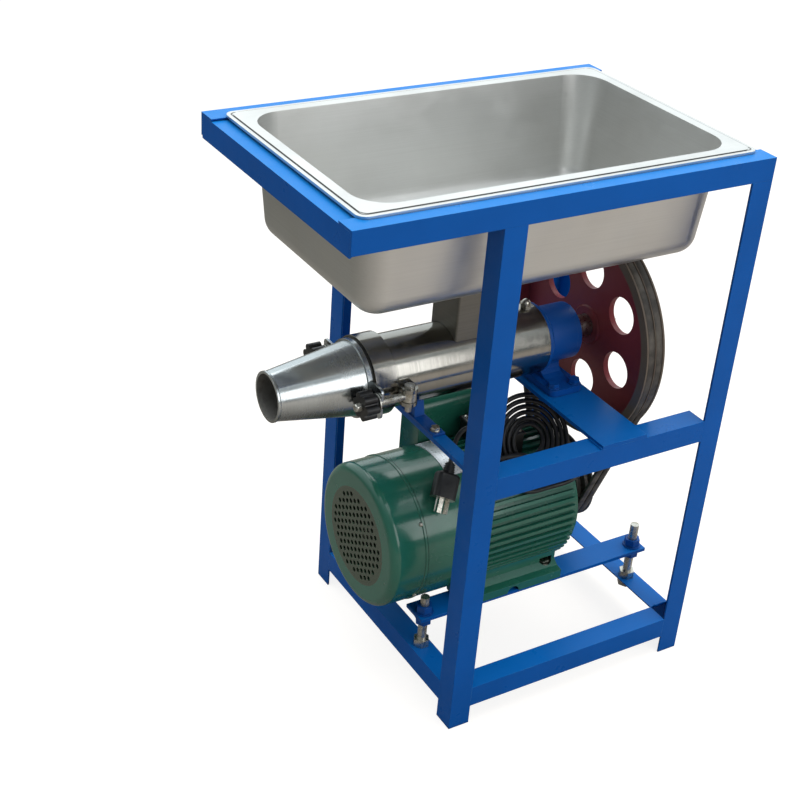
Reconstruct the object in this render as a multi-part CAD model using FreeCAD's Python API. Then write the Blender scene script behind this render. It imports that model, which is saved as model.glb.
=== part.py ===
import FreeCAD, Part
import math
import os
from FreeCAD import Placement, Rotation, Vector

# A motor-driven machine that makes popped rice cakes: rice falls from a catering pan through
# a neck into a barrel, a screw drives it forward, and it pops as it leaves the nozzle.
# Millimetres. X runs from the nozzle end to the back, Y from the near side to the far side
# and Z up. The origin is on the floor under the middle of the frame.

# Frame of welded steel angle
frame_length = 560.0
frame_width = 362.0
frame_height = 728.0
leg_angle = 30.0
top_angle = 28.0
angle_wall = 3.0
root_radius = 3.0
toe_share = 0.6
leg_setback = 184.0
mid_rail_top = 378.0
base_rail_top = 58.0
front_bar_setback = 8.0
front_bar_width = 18.0
front_bar_thick = 6.0
rear_bar_width = 68.0
rear_bar_thick = 5.0

# Catering pan that serves as the hopper
pan_end_gap = 15.0
pan_side_gap = 18.5
pan_shift = 4.0
pan_rim_width = 18.0
pan_rim_rise = 4.0
pan_rim_corner = 12.0
pan_rim_band = 6.0
pan_rim_step = 0.8
pan_above_pulley = 3.0
pan_taper = 14.0
pan_corner = 42.0
pan_floor_radius = 26.0
pan_sheet = 1.2

# Feed neck between pan and barrel
neck_length = 60.0
neck_width = 58.0
neck_wall = 2.0
neck_corner = 3.0
neck_from_front_leg = 87.0

# Barrel and nozzle
axis_above_mid_rail = 64.0
barrel_outer_radius = 46.0
barrel_bore_radius = 43.0
barrel_overhang = 63.0
barrel_length = 256.0
ring_radius = 51.5
ring_length = 29.0
gasket_thick = 3.0
gasket_radius = 48.5
nozzle_flange_radius = 49.0
nozzle_flange_thick = 6.0
nozzle_length = 109.0
nozzle_mouth_radius = 30.0
nozzle_base_radius = 46.5
nozzle_wall = 2.0
nozzle_lip = 1.2
nozzle_rim_step = 0.3
nozzle_land = 6.0

# Swing bolts that clamp the nozzle
bolt_spread = 64.0
bolt_pivot_back = 37.0
bolt_radius = 5.0
bolt_slot_clearance = 0.5
bolt_tip = 6.0
bolt_point = 1.5
bolt_point_taper = 1.0
eye_radius = 9.0
eye_height = 12.0
lug_thick = 5.0
lug_radius = 10.0
lug_clearance = 0.3
pivot_pin_radius = 4.0
pivot_pin_clearance = 0.05
pivot_pin_below = 10.0
pivot_pin_above = 3.0
pivot_pin_head_ratio = 1.6
ear_thick = 3.0
ear_half_height = 20.0
ear_beyond_bolt = 8.0
ear_corner_ratio = 0.3
washer_gap = 0.8
washer_thick = 1.5
washer_radius = 12.0
knob_radius = 17.5
knob_depth = 17.0
knob_lobes = 6
knob_lobe_radius = 5.5
knob_neck_radius = 9.0
knob_neck_depth = 4.0
thread_clearance = 0.3

# Screw, shaft and bearings
auger_clearance = 1.0
auger_front_gap = 10.0
auger_rear_gap = 12.0
auger_core_rear = 17.0
auger_core_front = 25.0
auger_tip_length = 22.0
auger_tip_radius = 12.0
flight_pitch = 42.0
flight_thick = 6.0
flight_root = 3.0
shaft_radius = 15.0
shaft_fit = 0.05
shaft_socket_depth = 40.0
shaft_socket_radius = 12.0
shaft_thread_length = 22.0
shaft_thread_chamfer = 1.5
shaft_washer_thick = 3.0
shaft_washer_rim = 7.0
shaft_nut_ratio = 1.7
pulley_seat_radius = 12.5
bearing_outer_radius = 31.0
bearing_width = 16.0
bearing_stack = 48.75
race_share = 0.28
shield_recess_share = 0.12
spacer_thick = 4.0
seal_outer_radius = 22.0
seal_width = 8.0

# Bearing housing that closes the back of the barrel
spigot_length = 27.0
housing_radius = 37.0
housing_length = 49.5
housing_cover_thick = 6.0
housing_boss_radius = 18.5
housing_boss_length = 9.0
housing_bore_gap = 3.0
housing_collar = 4.0
housing_collar_end = 12.0
housing_foot_half = 60.0
housing_foot_thick = 9.0
housing_foot_corner = 8.0
pedestal_length = 30.0
pedestal_base_half = 39.0
pedestal_waist_half = 16.0
housing_bolt_spread = 50.0
housing_bolt_half = 16.0
cover_screw_circle = 31.5
cover_screw_radius = 2.0
cover_screw_head = 3.0
cover_shaft_gap = 0.6

# Saddle on the front cross bar
saddle_bolt_spread = 62.0
saddle_half = 71.0
saddle_cradle_half = 18.0
saddle_cradle_flare = 8.0
saddle_cradle_inset = 2.0
saddle_reach = 28.0
saddle_foot_thick = 3.0

# Belt drive
pulley_radius = 145.0
pulley_face = 28.0
pulley_gap = 17.5
pulley_rim_depth = 6.0
pulley_web_thick = 8.0
pulley_web_back = 2.0
pulley_hub_radius = 27.0
pulley_draft = 2.0
pulley_hub_front = 16.0
pulley_hub_back = 9.0
pulley_holes = 6
pulley_hole_radius = 24.5
pulley_hole_circle = 76.5
pulley_hole_turn = 26.0
belt_width = 10.0
belt_height = 6.0
belt_half_angle = 20.0
belt_spacing = 12.0
belt_clearance = 0.3
belt_below_rim = 0.5
motor_pulley_radius = 55.0
motor_pulley_hub = 24.0
motor_pulley_web = 8.0
motor_pulley_recess = 6.0
drive_key_inset = 3.0
drive_key_half = 3.0
drive_key_depth = 3.0
drive_key_rise = 2.5

# Motor on its two bars
bar_width = 38.0
bar_thick = 5.0
bar_above_base_rail = 49.0
bar_spread = 73.0
stud_radius = 6.0
stud_inset = 16.0
stud_rise_front = 136.0
stud_rise_rear = 147.0
stud_spread = 77.0
stud_drop = 12.0
stud_hole_clearance = 0.6
motor_axis_rise = 90.0
motor_shaft_radius = 12.0
motor_shaft_end = 4.0
motor_shaft_shoulder = 10.0
motor_shield_length = 22.0
motor_shield_radius = 88.0
motor_boss_radius = 34.0
fin_length = 156.0
fin_tip_radius = 95.0
fin_root_radius = 90.0
fin_count = 54
fin_share = 0.42
fin_draft = 0.07
fin_sink = 2.0
motor_smooth_length = 81.0
motor_smooth_radius = 96.5
motor_spigot_radius = 93.5
motor_bore_radius = 78.0
stator_front_gap = 10.0
stator_rear_gap = 30.0
winding_length = 18.0
winding_inset = 6.0
winding_bore_gap = 5.0
rotor_shaft_step = 3.0
stator_bore_radius = 54.0
rotor_gap = 0.5
motor_bearing_radius = 26.0
motor_bearing_width = 15.0
shield_spigot = 6.0
shield_wall = 4.0
shield_dish = 12.0
shield_edge = 8.0
shield_boss_depth = 14.0
shield_back = 10.0
fan_cover_radius = 96.0
fan_cover_length = 51.0
fan_cover_round = 11.0
fan_cover_wall = 1.5
fan_cover_lap = 6.0
fan_cover_bead = 1.2
fan_cover_bead_length = 5.0
grille_hole_radius = 3.4
grille_hole_sides = 8
grille_pitch = 10.8
grille_field_radius = 58.5
fan_radius = 78.0
fan_hub_radius = 20.0
fan_blades = 7
fan_blade_thick = 2.5
fan_blade_depth = 24.0
fan_gap = 6.0
fan_disc_thick = 3.0
fan_root = 2.0
motor_foot_length = 155.0
motor_foot_inset = 11.0
motor_foot_half = 94.0
motor_foot_thick = 12.0
motor_foot_inner = 50.0
motor_foot_toe = (10.0, 2.0)
motor_foot_web = (18.0, 8.0)
motor_foot_flank = (14.0, 34.0)
motor_foot_crown = (10.0, 60.0)
motor_foot_arch = 9.0
motor_bolt_spread = 70.0
motor_bolt_inset = 15.0
motor_bolt_pad = 14.0
hump_setback = 66.0
hump_length = 84.0
hump_near = 43.5
hump_width = 44.0
hump_top = 149.0
hump_bottom = 40.0
hump_round = 19.0
plate_setback = 60.5
plate_length = 41.0
plate_half_angle = 25.0
plate_pad_margin = 0.5
plate_thick = 0.8
plate_seat = 0.1
box_setback = 125.0
box_length = 55.0
box_half = 34.0
box_top = 117.0
box_wall = 3.0
box_lid_thick = 4.0
box_lid_edge = 1.5
box_lid_round = 2.5
gland_radius = 9.0
gland_length = 14.0

# Mains cable: a loose flat coil that leans on the motor's near shoulder, and a plug
cable_radius = 3.2
cable_rest = 0.3
cable_trim_share = 0.45
coil_radius = 63.0
coil_half_turns = 12
coil_step = 3.8
coil_slope = 58.0
coil_above_foot = 6.0
coil_x_from_box = 28.0
plug_length = 34.0
plug_width = 32.0
plug_thick = 20.0
plug_relief = 16.0
plug_lead = 14.0
plug_relief_radius = 5.0
plug_relief_flare = 2.5
plug_relief_lap = 3.0
plug_socket = 1.0
plug_side_round = 0.35
plug_top_round = 0.3
plug_blade_length = 18.0
plug_blade_width = 6.3
plug_blade_thick = 1.5
plug_blade_spread = 7.5
plug_blade_rise = 0.5
plug_blade_drop = 2.0

# Fasteners
m6_radius = 3.0
m8_radius = 4.0
m10_radius = 5.0
hex_ratio = 1.85
head_ratio = 0.65
nut_ratio = 0.85
dome_ratio = 1.5
hole_clearance = 0.4
washer_ratio = 2.1
flat_washer_thick = 1.6
bolt_end = 3.0
overcut = 1.0

# Places worked out from the sizes above
front_x = -frame_length / 2
rear_x = frame_length / 2
side_y = frame_width / 2
leg_x = front_x + leg_setback
axis_z = mid_rail_top + axis_above_mid_rail
front_bar_x = leg_x + front_bar_setback
front_bar_mid_x = front_bar_x + front_bar_width / 2
barrel_front_x = leg_x - barrel_overhang
barrel_rear_x = barrel_front_x + barrel_length
housing_rear_x = barrel_rear_x + housing_length
bearing_seat_x = housing_rear_x - bearing_stack
housing_mid_x = barrel_rear_x + housing_length / 2
cover_rear_x = housing_rear_x + housing_cover_thick
pulley_x = cover_rear_x + pulley_gap
pulley_rear_x = pulley_x + pulley_face
hub_front_x = pulley_x + pulley_hub_front
hub_rear_x = pulley_rear_x + pulley_hub_back
nozzle_flange_x = barrel_front_x - gasket_thick - nozzle_flange_thick
nozzle_mouth_x = nozzle_flange_x - nozzle_length
ear_front_x = nozzle_flange_x + nozzle_flange_thick - ear_thick
bolt_pivot_x = barrel_front_x + bolt_pivot_back
neck_x = leg_x + neck_from_front_leg
pan_length = frame_length - 2 * pan_end_gap
pan_width = frame_width - 2 * pan_side_gap
pan_x = pan_shift
pan_top_z = frame_height + pan_rim_rise
pan_floor_z = axis_z + pulley_radius + pan_above_pulley
bar_top_z = base_rail_top + bar_above_base_rail + bar_thick
motor_z = bar_top_z + motor_axis_rise
motor_shield_rear_x = pulley_x - motor_shaft_shoulder
fin_rear_x = motor_shield_rear_x - motor_shield_length
fin_front_x = fin_rear_x - fin_length
smooth_front_x = fin_front_x - motor_smooth_length
cover_front_x = smooth_front_x + fan_cover_lap - fan_cover_length
plate_x = smooth_front_x + plate_setback
stator_front_x = fin_front_x + stator_front_gap
stator_rear_x = fin_rear_x - stator_rear_gap
stud_xs = (leg_x + stud_inset, rear_x - stud_inset)
rear_bar_top = mid_rail_top + rear_bar_thick

X_AXIS = Vector(1, 0, 0)
Y_AXIS = Vector(0, 1, 0)
Z_AXIS = Vector(0, 0, 1)


def box(x0, x1, y0, y1, z0, z1):
    """A block between two corners."""
    return Part.makeBox(x1 - x0, y1 - y0, z1 - z0, Vector(x0, y0, z0))


def rod(start, direction, length, radius):
    """A round bar from a point along a direction."""
    return Part.makeCylinder(radius, length, start, direction)


def rod_x(x0, x1, radius, z, y=0.0):
    """A round bar along X."""
    return rod(Vector(x0, y, z), X_AXIS, x1 - x0, radius)


def rod_z(x, y, z0, z1, radius):
    """A round bar along Z."""
    return rod(Vector(x, y, z0), Z_AXIS, z1 - z0, radius)


def ring_x(x0, x1, outer, inner, z):
    """A plain ring along X."""
    return rod_x(x0, x1, outer, z).cut(rod_x(x0 - 1, x1 + 1, inner, z))


def turned(outline, z):
    """A solid of revolution about the X axis at height z, from (x, radius) corners."""
    corners = [Vector(x, 0, z + r) for x, r in outline]
    face = Part.Face(Part.makePolygon(corners + corners[:1]))
    return face.revolve(Vector(0, 0, z), X_AXIS, 360)


def plate(corners, along):
    """A flat outline of corners, pushed out along a vector."""
    return Part.Face(Part.makePolygon(corners + corners[:1])).extrude(along)


def mirrored(shape):
    """The same shape on the other side of the machine."""
    return shape.mirror(Vector(0, 0, 0), Y_AXIS)


def both_sides(shape):
    """A near shape and its far twin."""
    return [shape, mirrored(shape)]


def fused(shapes):
    """One solid out of several that meet."""
    shapes = list(shapes)
    return shapes[0].fuse(shapes[1:]).removeSplitter()


def placed(shape, start, direction):
    """A shape that was made along +Z from the origin, set at a point along a direction."""
    moved = shape.copy()
    moved.Placement = Placement(start, Rotation(Z_AXIS, direction))
    return moved


def hexagon(radius, height):
    """A hexagonal prism about +Z, with its corners at a radius."""
    corners = [Vector(radius * math.cos(a), radius * math.sin(a), 0)
               for a in (math.radians(60 * i) for i in range(6))]
    return plate(corners, Vector(0, 0, height))


def hex_bolt(radius, length):
    """A hexagon bolt with its shank down from the origin and its head above a flat washer."""
    shank = Part.makeCylinder(radius, length, Vector(0, 0, -length), Z_AXIS)
    head = hexagon(radius * hex_ratio, radius * 2 * head_ratio)
    head.translate(Vector(0, 0, flat_washer_thick))
    washer = Part.makeCylinder(radius * washer_ratio, flat_washer_thick)
    return fused([shank, washer, head])


def hex_nut(radius, bore):
    """A hexagon nut standing up from the origin."""
    height = radius * 2 * nut_ratio
    hole = Part.makeCylinder(bore, height + 2, Vector(0, 0, -1), Z_AXIS)
    return hexagon(radius * hex_ratio, height).cut(hole)


def angle_bar(corner, flange_a, flange_b, along, width):
    """Rolled angle with its outer corner at a point, its flanges along two directions."""
    def at(a, b):
        return corner + flange_a * a + flange_b * b

    toe = angle_wall * toe_share
    inner = angle_wall + root_radius
    turn = root_radius * (1 - math.sqrt(0.5))
    toe_turn = toe * math.sqrt(0.5)
    root = at(angle_wall + turn, angle_wall + turn)
    toe_a = at(width - toe + toe_turn, angle_wall - toe + toe_turn)
    toe_b = at(angle_wall - toe + toe_turn, width - toe + toe_turn)
    edges = [
        Part.LineSegment(at(0, 0), at(width, 0)),
        Part.LineSegment(at(width, 0), at(width, angle_wall - toe)),
        Part.Arc(at(width, angle_wall - toe), toe_a, at(width - toe, angle_wall)),
        Part.LineSegment(at(width - toe, angle_wall), at(inner, angle_wall)),
        Part.Arc(at(inner, angle_wall), root, at(angle_wall, inner)),
        Part.LineSegment(at(angle_wall, inner), at(angle_wall, width - toe)),
        Part.Arc(at(angle_wall, width - toe), toe_b, at(angle_wall - toe, width)),
        Part.LineSegment(at(angle_wall - toe, width), at(0, width)),
        Part.LineSegment(at(0, width), at(0, 0)),
    ]
    outline = Part.Wire([edge.toShape() for edge in edges])
    return Part.Face(outline).extrude(along)


def cross_rail(x, inward, top_z, width, half_span):
    """An angle rail across the frame, with one flange up the outside and one on top."""
    corner = Vector(x, -half_span, top_z)
    return angle_bar(corner, inward, -Z_AXIS, Vector(0, 2 * half_span, 0), width)


def near_rail(x0, x1, top_z, width):
    """An angle rail along the near side, with one flange up the outside and one on top."""
    corner = Vector(x0, -side_y, top_z)
    return angle_bar(corner, Y_AXIS, -Z_AXIS, Vector(x1 - x0, 0, 0), width)


def near_leg(x, inward):
    """An angle leg on the near side, from the floor to the top rail."""
    corner = Vector(x, -side_y, 0)
    return angle_bar(corner, inward, Y_AXIS, Vector(0, 0, frame_height - top_angle), leg_angle)


def frame_nodes():
    """The welded frame, one node for each length of angle or flat."""
    nodes = {}
    top_front = cross_rail(front_x, X_AXIS, frame_height - angle_wall, top_angle, side_y - angle_wall)
    top_rear = cross_rail(rear_x, -X_AXIS, frame_height - angle_wall, top_angle, side_y - angle_wall)
    leg_inner_x = leg_x + leg_angle
    rear_inner_x = rear_x - leg_angle
    between_legs = side_y - leg_angle
    studs = fused(stud_holes(0.0))
    long_pieces = {
        "top_rail": near_rail(front_x, rear_x, frame_height, top_angle),
        "leg_front": near_leg(leg_x, X_AXIS),
        "leg_rear": near_leg(rear_x, -X_AXIS).cut(top_rear),
        "mid_rail": near_rail(leg_inner_x, rear_inner_x, mid_rail_top, leg_angle),
        "base_rail": near_rail(leg_inner_x, rear_inner_x, base_rail_top, leg_angle),
    }
    for name, near in long_pieces.items():
        nodes[name + "_near"] = near
        nodes[name + "_far"] = mirrored(near)
    long_rails = Part.makeCompound(both_sides(long_pieces["top_rail"]))
    nodes["top_rail_front"] = top_front.cut(long_rails)
    nodes["top_rail_rear"] = top_rear.cut(long_rails)
    nodes["base_rail_front"] = cross_rail(leg_x, X_AXIS, base_rail_top, leg_angle, between_legs).cut(studs)
    nodes["base_rail_rear"] = cross_rail(rear_x, -X_AXIS, base_rail_top, leg_angle, between_legs).cut(studs)
    inside = side_y - angle_wall
    front_bar = box(front_bar_x, front_bar_x + front_bar_width, -inside, inside,
                    mid_rail_top - front_bar_thick, mid_rail_top)
    nodes["front_cross_bar"] = front_bar.cut(fused(saddle_bolt_holes()))
    rear_bar = box(housing_mid_x - rear_bar_width / 2, housing_mid_x + rear_bar_width / 2,
                   -side_y, side_y, mid_rail_top, rear_bar_top)
    nodes["rear_cross_bar"] = rear_bar.cut(fused(housing_bolt_holes()))
    return nodes


def stud_places():
    """The four upright studs, as (x, y)."""
    return [(x, y) for x in stud_xs for y in (-stud_spread, stud_spread)]


def stud_holes(extra):
    """Bars that cut the stud holes, wider than the stud by an extra clearance."""
    return [rod_z(x, y, 0, bar_top_z + 1, stud_radius + extra) for x, y in stud_places()]


def saddle_bolt_places():
    """The two bolts of the saddle, as (x, y)."""
    return [(front_bar_mid_x, y) for y in (-saddle_bolt_spread, saddle_bolt_spread)]


def saddle_bolt_holes():
    """Bars that cut the holes of the saddle's bolts."""
    return [rod_z(x, y, base_rail_top, axis_z, m6_radius + hole_clearance) for x, y in saddle_bolt_places()]


def housing_bolt_places():
    """The four bolts of the bearing housing, as (x, y)."""
    return [(housing_mid_x + dx, y) for dx in (-housing_bolt_half, housing_bolt_half)
            for y in (-housing_bolt_spread, housing_bolt_spread)]


def housing_bolt_holes():
    """Bars that cut the holes of the housing bolts."""
    return [rod_z(x, y, mid_rail_top - 1, axis_z, m8_radius + hole_clearance)
            for x, y in housing_bolt_places()]


def rounded_rectangle(x, half_length, half_width, corner, z):
    """A closed wire round a rectangle with round corners, level at height z."""
    a = half_length - corner
    b = half_width - corner
    lines = [((a, -half_width), (-a, -half_width)), ((-half_length, -b), (-half_length, b)),
             ((-a, half_width), (a, half_width)), ((half_length, b), (half_length, -b))]
    centres = [(-a, -b, 225), (-a, b, 135), (a, b, 45), (a, -b, 315)]
    edges = []
    for i, (start, end) in enumerate(lines):
        begin = Vector(x + start[0], start[1], z)
        finish = Vector(x + end[0], end[1], z)
        edges.append(Part.LineSegment(begin, finish).toShape())
        cx, cy, angle = centres[i]
        turn = math.radians(angle)
        middle = Vector(x + cx + corner * math.cos(turn), cy + corner * math.sin(turn), z)
        following = lines[(i + 1) % 4][0]
        edges.append(Part.Arc(finish, middle, Vector(x + following[0], following[1], z)).toShape())
    return Part.Wire(edges)


def rounded_block(x, half_length, half_width, corner, z0, z1):
    """A block with round upright corners."""
    face = Part.Face(rounded_rectangle(x, half_length, half_width, corner, z0))
    return face.extrude(Vector(0, 0, z1 - z0))


def tapered_tub(inset, floor_z):
    """The pan's body as a solid, or its inside where an inset is given."""
    half_length = pan_length / 2 - pan_rim_width - inset
    half_width = pan_width / 2 - pan_rim_width - inset
    corner = pan_corner - inset
    top = rounded_rectangle(pan_x, half_length, half_width, corner, pan_top_z)
    bottom = rounded_rectangle(pan_x, half_length - pan_taper, half_width - pan_taper,
                               corner - pan_taper, floor_z)
    body = Part.makeLoft([bottom, top], True, True)
    edges = [edge for edge in body.Edges if edge.BoundBox.ZMax < floor_z + 0.01]
    return body.makeFillet(pan_floor_radius - inset, edges)


def hopper_pan():
    """A deep catering pan with a flat rim, a down-turned lip and a hole for the neck."""
    rim_half_length = pan_length / 2
    rim_half_width = pan_width / 2
    band_top = pan_top_z - pan_rim_step
    lip = rounded_block(pan_x, rim_half_length, rim_half_width, pan_rim_corner, frame_height, band_top)
    lip_inside = rounded_block(pan_x, rim_half_length - pan_sheet, rim_half_width - pan_sheet,
                               pan_rim_corner - pan_sheet, frame_height - 1, band_top - pan_sheet)
    raised = rounded_block(pan_x, rim_half_length - pan_rim_band, rim_half_width - pan_rim_band,
                           pan_rim_corner, band_top - pan_sheet, pan_top_z)
    tub = tapered_tub(0.0, pan_floor_z)
    inside = tapered_tub(pan_sheet, pan_floor_z + pan_sheet)
    opening = box(neck_x - neck_length / 2 + neck_wall, neck_x + neck_length / 2 - neck_wall,
                  -neck_width / 2 + neck_wall, neck_width / 2 - neck_wall,
                  pan_floor_z - overcut, pan_floor_z + pan_sheet + overcut)
    return fused([lip.cut(lip_inside), raised, tub]).cut(fused([inside, opening]))


def hopper_neck():
    """A square duct from the pan's floor, cut to sit on the round barrel."""
    outer = box(neck_x - neck_length / 2, neck_x + neck_length / 2,
                -neck_width / 2, neck_width / 2, axis_z, pan_floor_z)
    duct = outer.makeFillet(neck_corner, [e for e in outer.Edges if e.BoundBox.ZLength > neck_length])
    inner = box(neck_x - neck_length / 2 + neck_wall, neck_x + neck_length / 2 - neck_wall,
                -neck_width / 2 + neck_wall, neck_width / 2 - neck_wall, axis_z - 1, pan_floor_z + 1)
    saddle = rod_x(barrel_front_x, barrel_rear_x, barrel_outer_radius, axis_z)
    return duct.cut(fused([inner, saddle]))


def barrel():
    """A steel tube with a square feed opening on top and a hole for the set bolt."""
    tube = ring_x(barrel_front_x, barrel_rear_x, barrel_outer_radius, barrel_bore_radius, axis_z)
    feed = box(neck_x - neck_length / 2 + neck_wall, neck_x + neck_length / 2 - neck_wall,
               -neck_width / 2 + neck_wall, neck_width / 2 - neck_wall, axis_z, pan_floor_z)
    return tube.cut(fused([feed, rod_z(set_bolt_x(), 0, axis_z, pan_floor_z, m8_radius)]))


def set_bolt_x():
    """The set bolt stands over the middle of the housing's spigot."""
    return barrel_rear_x - spigot_length / 2


def barrel_set_bolt():
    """A domed bolt through the barrel wall that holds the housing's spigot."""
    top = axis_z + barrel_outer_radius
    flat = math.sqrt(barrel_outer_radius ** 2 - (m8_radius * hex_ratio) ** 2)
    shank = rod_z(set_bolt_x(), 0, axis_z + barrel_bore_radius, top + 1, m8_radius)
    nut = hexagon(m8_radius * hex_ratio, m8_radius * 2 * nut_ratio + barrel_outer_radius - flat)
    nut.translate(Vector(set_bolt_x(), 0, axis_z + flat))
    nut = nut.cut(rod_x(barrel_front_x, barrel_rear_x, barrel_outer_radius, axis_z))
    dome_z = top + m8_radius * 2 * nut_ratio - 1
    dome = Part.makeSphere(m8_radius * dome_ratio, Vector(set_bolt_x(), 0, dome_z))
    dome = dome.cut(rod_z(set_bolt_x(), 0, axis_z, dome_z, barrel_outer_radius))
    return fused([shank, nut, dome])


def barrel_flange():
    """The ring at the barrel's mouth, with two pairs of lugs for the swing bolts."""
    ring = ring_x(barrel_front_x, barrel_front_x + ring_length, ring_radius, barrel_outer_radius, axis_z)
    pieces = [ring]
    for z in (axis_z + eye_height / 2 + lug_clearance, axis_z - eye_height / 2 - lug_clearance - lug_thick):
        for side in (-1, 1):
            y = side * bolt_spread
            arm = box(bolt_pivot_x - lug_radius, bolt_pivot_x + lug_radius,
                      min(0, y), max(0, y), z, z + lug_thick)
            end = rod_z(bolt_pivot_x, y, z, z + lug_thick, lug_radius)
            pieces += [arm, end]
    body = fused(pieces)
    body = body.cut(rod_x(barrel_front_x - 1, barrel_rear_x, barrel_outer_radius, axis_z))
    pins = [rod_z(bolt_pivot_x, y, 0, frame_height, pivot_pin_radius) for y in (-bolt_spread, bolt_spread)]
    return body.cut(fused(pins))


def pivot_pin(y):
    """An upright pin through a lug pair and the eye between them."""
    low = axis_z - eye_height / 2 - lug_clearance - lug_thick - pivot_pin_below
    high = axis_z + eye_height / 2 + lug_clearance + lug_thick + pivot_pin_above
    pin = rod_z(bolt_pivot_x, y, low, high, pivot_pin_radius)
    head = rod_z(bolt_pivot_x, y, high - pivot_pin_above, high, pivot_pin_radius * pivot_pin_head_ratio)
    return fused([pin, head])


def washer_front_x():
    """The face of the washer that the knob bears on."""
    return ear_front_x - washer_gap - washer_thick


def swing_bolt(y):
    """An eye bolt that lies along the barrel and swings outward about its pin."""
    tip_x = washer_front_x() - knob_depth - knob_neck_depth - bolt_tip
    shank = rod_x(tip_x, bolt_pivot_x, bolt_radius, axis_z, y)
    tip = Part.makeCone(bolt_radius - bolt_point_taper, bolt_radius, bolt_point,
                        Vector(tip_x - bolt_point, y, axis_z), X_AXIS)
    eye = rod_z(bolt_pivot_x, y, axis_z - eye_height / 2, axis_z + eye_height / 2, eye_radius)
    hole = rod_z(bolt_pivot_x, y, axis_z - eye_height, axis_z + eye_height,
                 pivot_pin_radius + pivot_pin_clearance)
    return fused([shank, tip, eye]).cut(hole)


def clamp_washer(y):
    """A flat washer on the swing bolt, in front of the nozzle's ear."""
    x = washer_front_x()
    disc = rod_x(x, x + washer_thick, washer_radius, axis_z, y)
    return disc.cut(rod_x(x - 1, x + washer_thick + 1, bolt_radius + thread_clearance, axis_z, y))


def star_knob(y):
    """A lobed hand knob with a round neck that bears on the washer."""
    rear = washer_front_x()
    front = rear - knob_neck_depth - knob_depth
    lobe_circle = knob_radius - knob_lobe_radius
    lobes = []
    for i in range(knob_lobes):
        turn = 2 * math.pi * i / knob_lobes
        lobes.append(rod_x(front, rear - knob_neck_depth, knob_lobe_radius,
                           axis_z + lobe_circle * math.sin(turn), y + lobe_circle * math.cos(turn)))
    core = rod_x(front, rear - knob_neck_depth, lobe_circle, axis_z, y)
    neck = rod_x(front, rear, knob_neck_radius, axis_z, y)
    bore = rod_x(front - 1, rear + 1, bolt_radius + thread_clearance, axis_z, y)
    return fused([core, neck] + lobes).cut(bore)


def nozzle_ears():
    """Two slotted ears that the swing bolts drop into."""
    rear = nozzle_flange_x + nozzle_flange_thick
    reach = bolt_spread + ear_beyond_bolt
    ear = box(ear_front_x, rear, 0, reach, axis_z - ear_half_height, axis_z + ear_half_height)
    tips = [e for e in ear.Edges if e.BoundBox.YMin > reach - 0.01 and e.BoundBox.XLength > ear_thick / 2]
    ear = ear.makeFillet(ear_half_height * ear_corner_ratio, tips)
    slot_half = bolt_radius + bolt_slot_clearance
    slot = box(ear_front_x - overcut, rear + overcut, bolt_spread, reach + overcut,
               axis_z - slot_half, axis_z + slot_half)
    slot = fused([slot, rod_x(ear_front_x - overcut, rear + overcut, slot_half, axis_z, bolt_spread)])
    flange = rod_x(ear_front_x - overcut, rear + overcut, nozzle_flange_radius, axis_z)
    return both_sides(ear.cut(slot).cut(flange))


def nozzle_cone():
    """The polished cone that lifts off the barrel, welded to its flange, which carries the ears."""
    mouth = nozzle_mouth_x
    outline = [
        (mouth, nozzle_mouth_radius - nozzle_wall),
        (mouth, nozzle_mouth_radius + nozzle_lip),
        (mouth + 2 * nozzle_lip, nozzle_mouth_radius + nozzle_lip),
        (mouth + 3 * nozzle_lip, nozzle_mouth_radius + nozzle_rim_step),
        (nozzle_flange_x, nozzle_base_radius),
        (nozzle_flange_x, barrel_bore_radius),
        (mouth + nozzle_land, nozzle_mouth_radius - nozzle_wall),
    ]
    flange = ring_x(nozzle_flange_x, nozzle_flange_x + nozzle_flange_thick,
                    nozzle_flange_radius, barrel_bore_radius, axis_z)
    return [turned(outline, axis_z), flange] + nozzle_ears()


def nozzle_gasket():
    """A soft ring between the nozzle's flange and the barrel's ring."""
    return ring_x(barrel_front_x - gasket_thick, barrel_front_x, gasket_radius, barrel_bore_radius, axis_z)


def auger():
    """The feed screw: a core that thickens towards the nozzle, with one helical flight."""
    front = barrel_front_x + auger_front_gap
    rear = barrel_rear_x - spigot_length - auger_rear_gap
    outline = [
        (front - auger_tip_length, 0),
        (front - auger_tip_length, auger_tip_radius),
        (front, auger_core_front),
        (rear, auger_core_rear),
        (rear, shaft_socket_radius),
        (rear - shaft_socket_depth, shaft_socket_radius),
        (rear - shaft_socket_depth, 0),
    ]
    core = turned(outline, axis_z)
    length = rear - front - flight_thick
    outer = barrel_bore_radius - auger_clearance
    inner = auger_core_rear - flight_root
    helix = Part.makeLongHelix(flight_pitch, length, outer)
    section = Part.makePolygon([Vector(inner, 0, 0), Vector(outer, 0, 0), Vector(outer, 0, flight_thick),
                                Vector(inner, 0, flight_thick), Vector(inner, 0, 0)])
    flight = Part.Wire(helix.Edges).makePipeShell([section], True, True)
    flight = placed(flight, Vector(front, 0, axis_z), X_AXIS)
    socket = rod_x(rear - shaft_socket_depth, rear + 1, shaft_socket_radius, axis_z)
    return core.fuse(flight).cut(socket)


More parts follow.
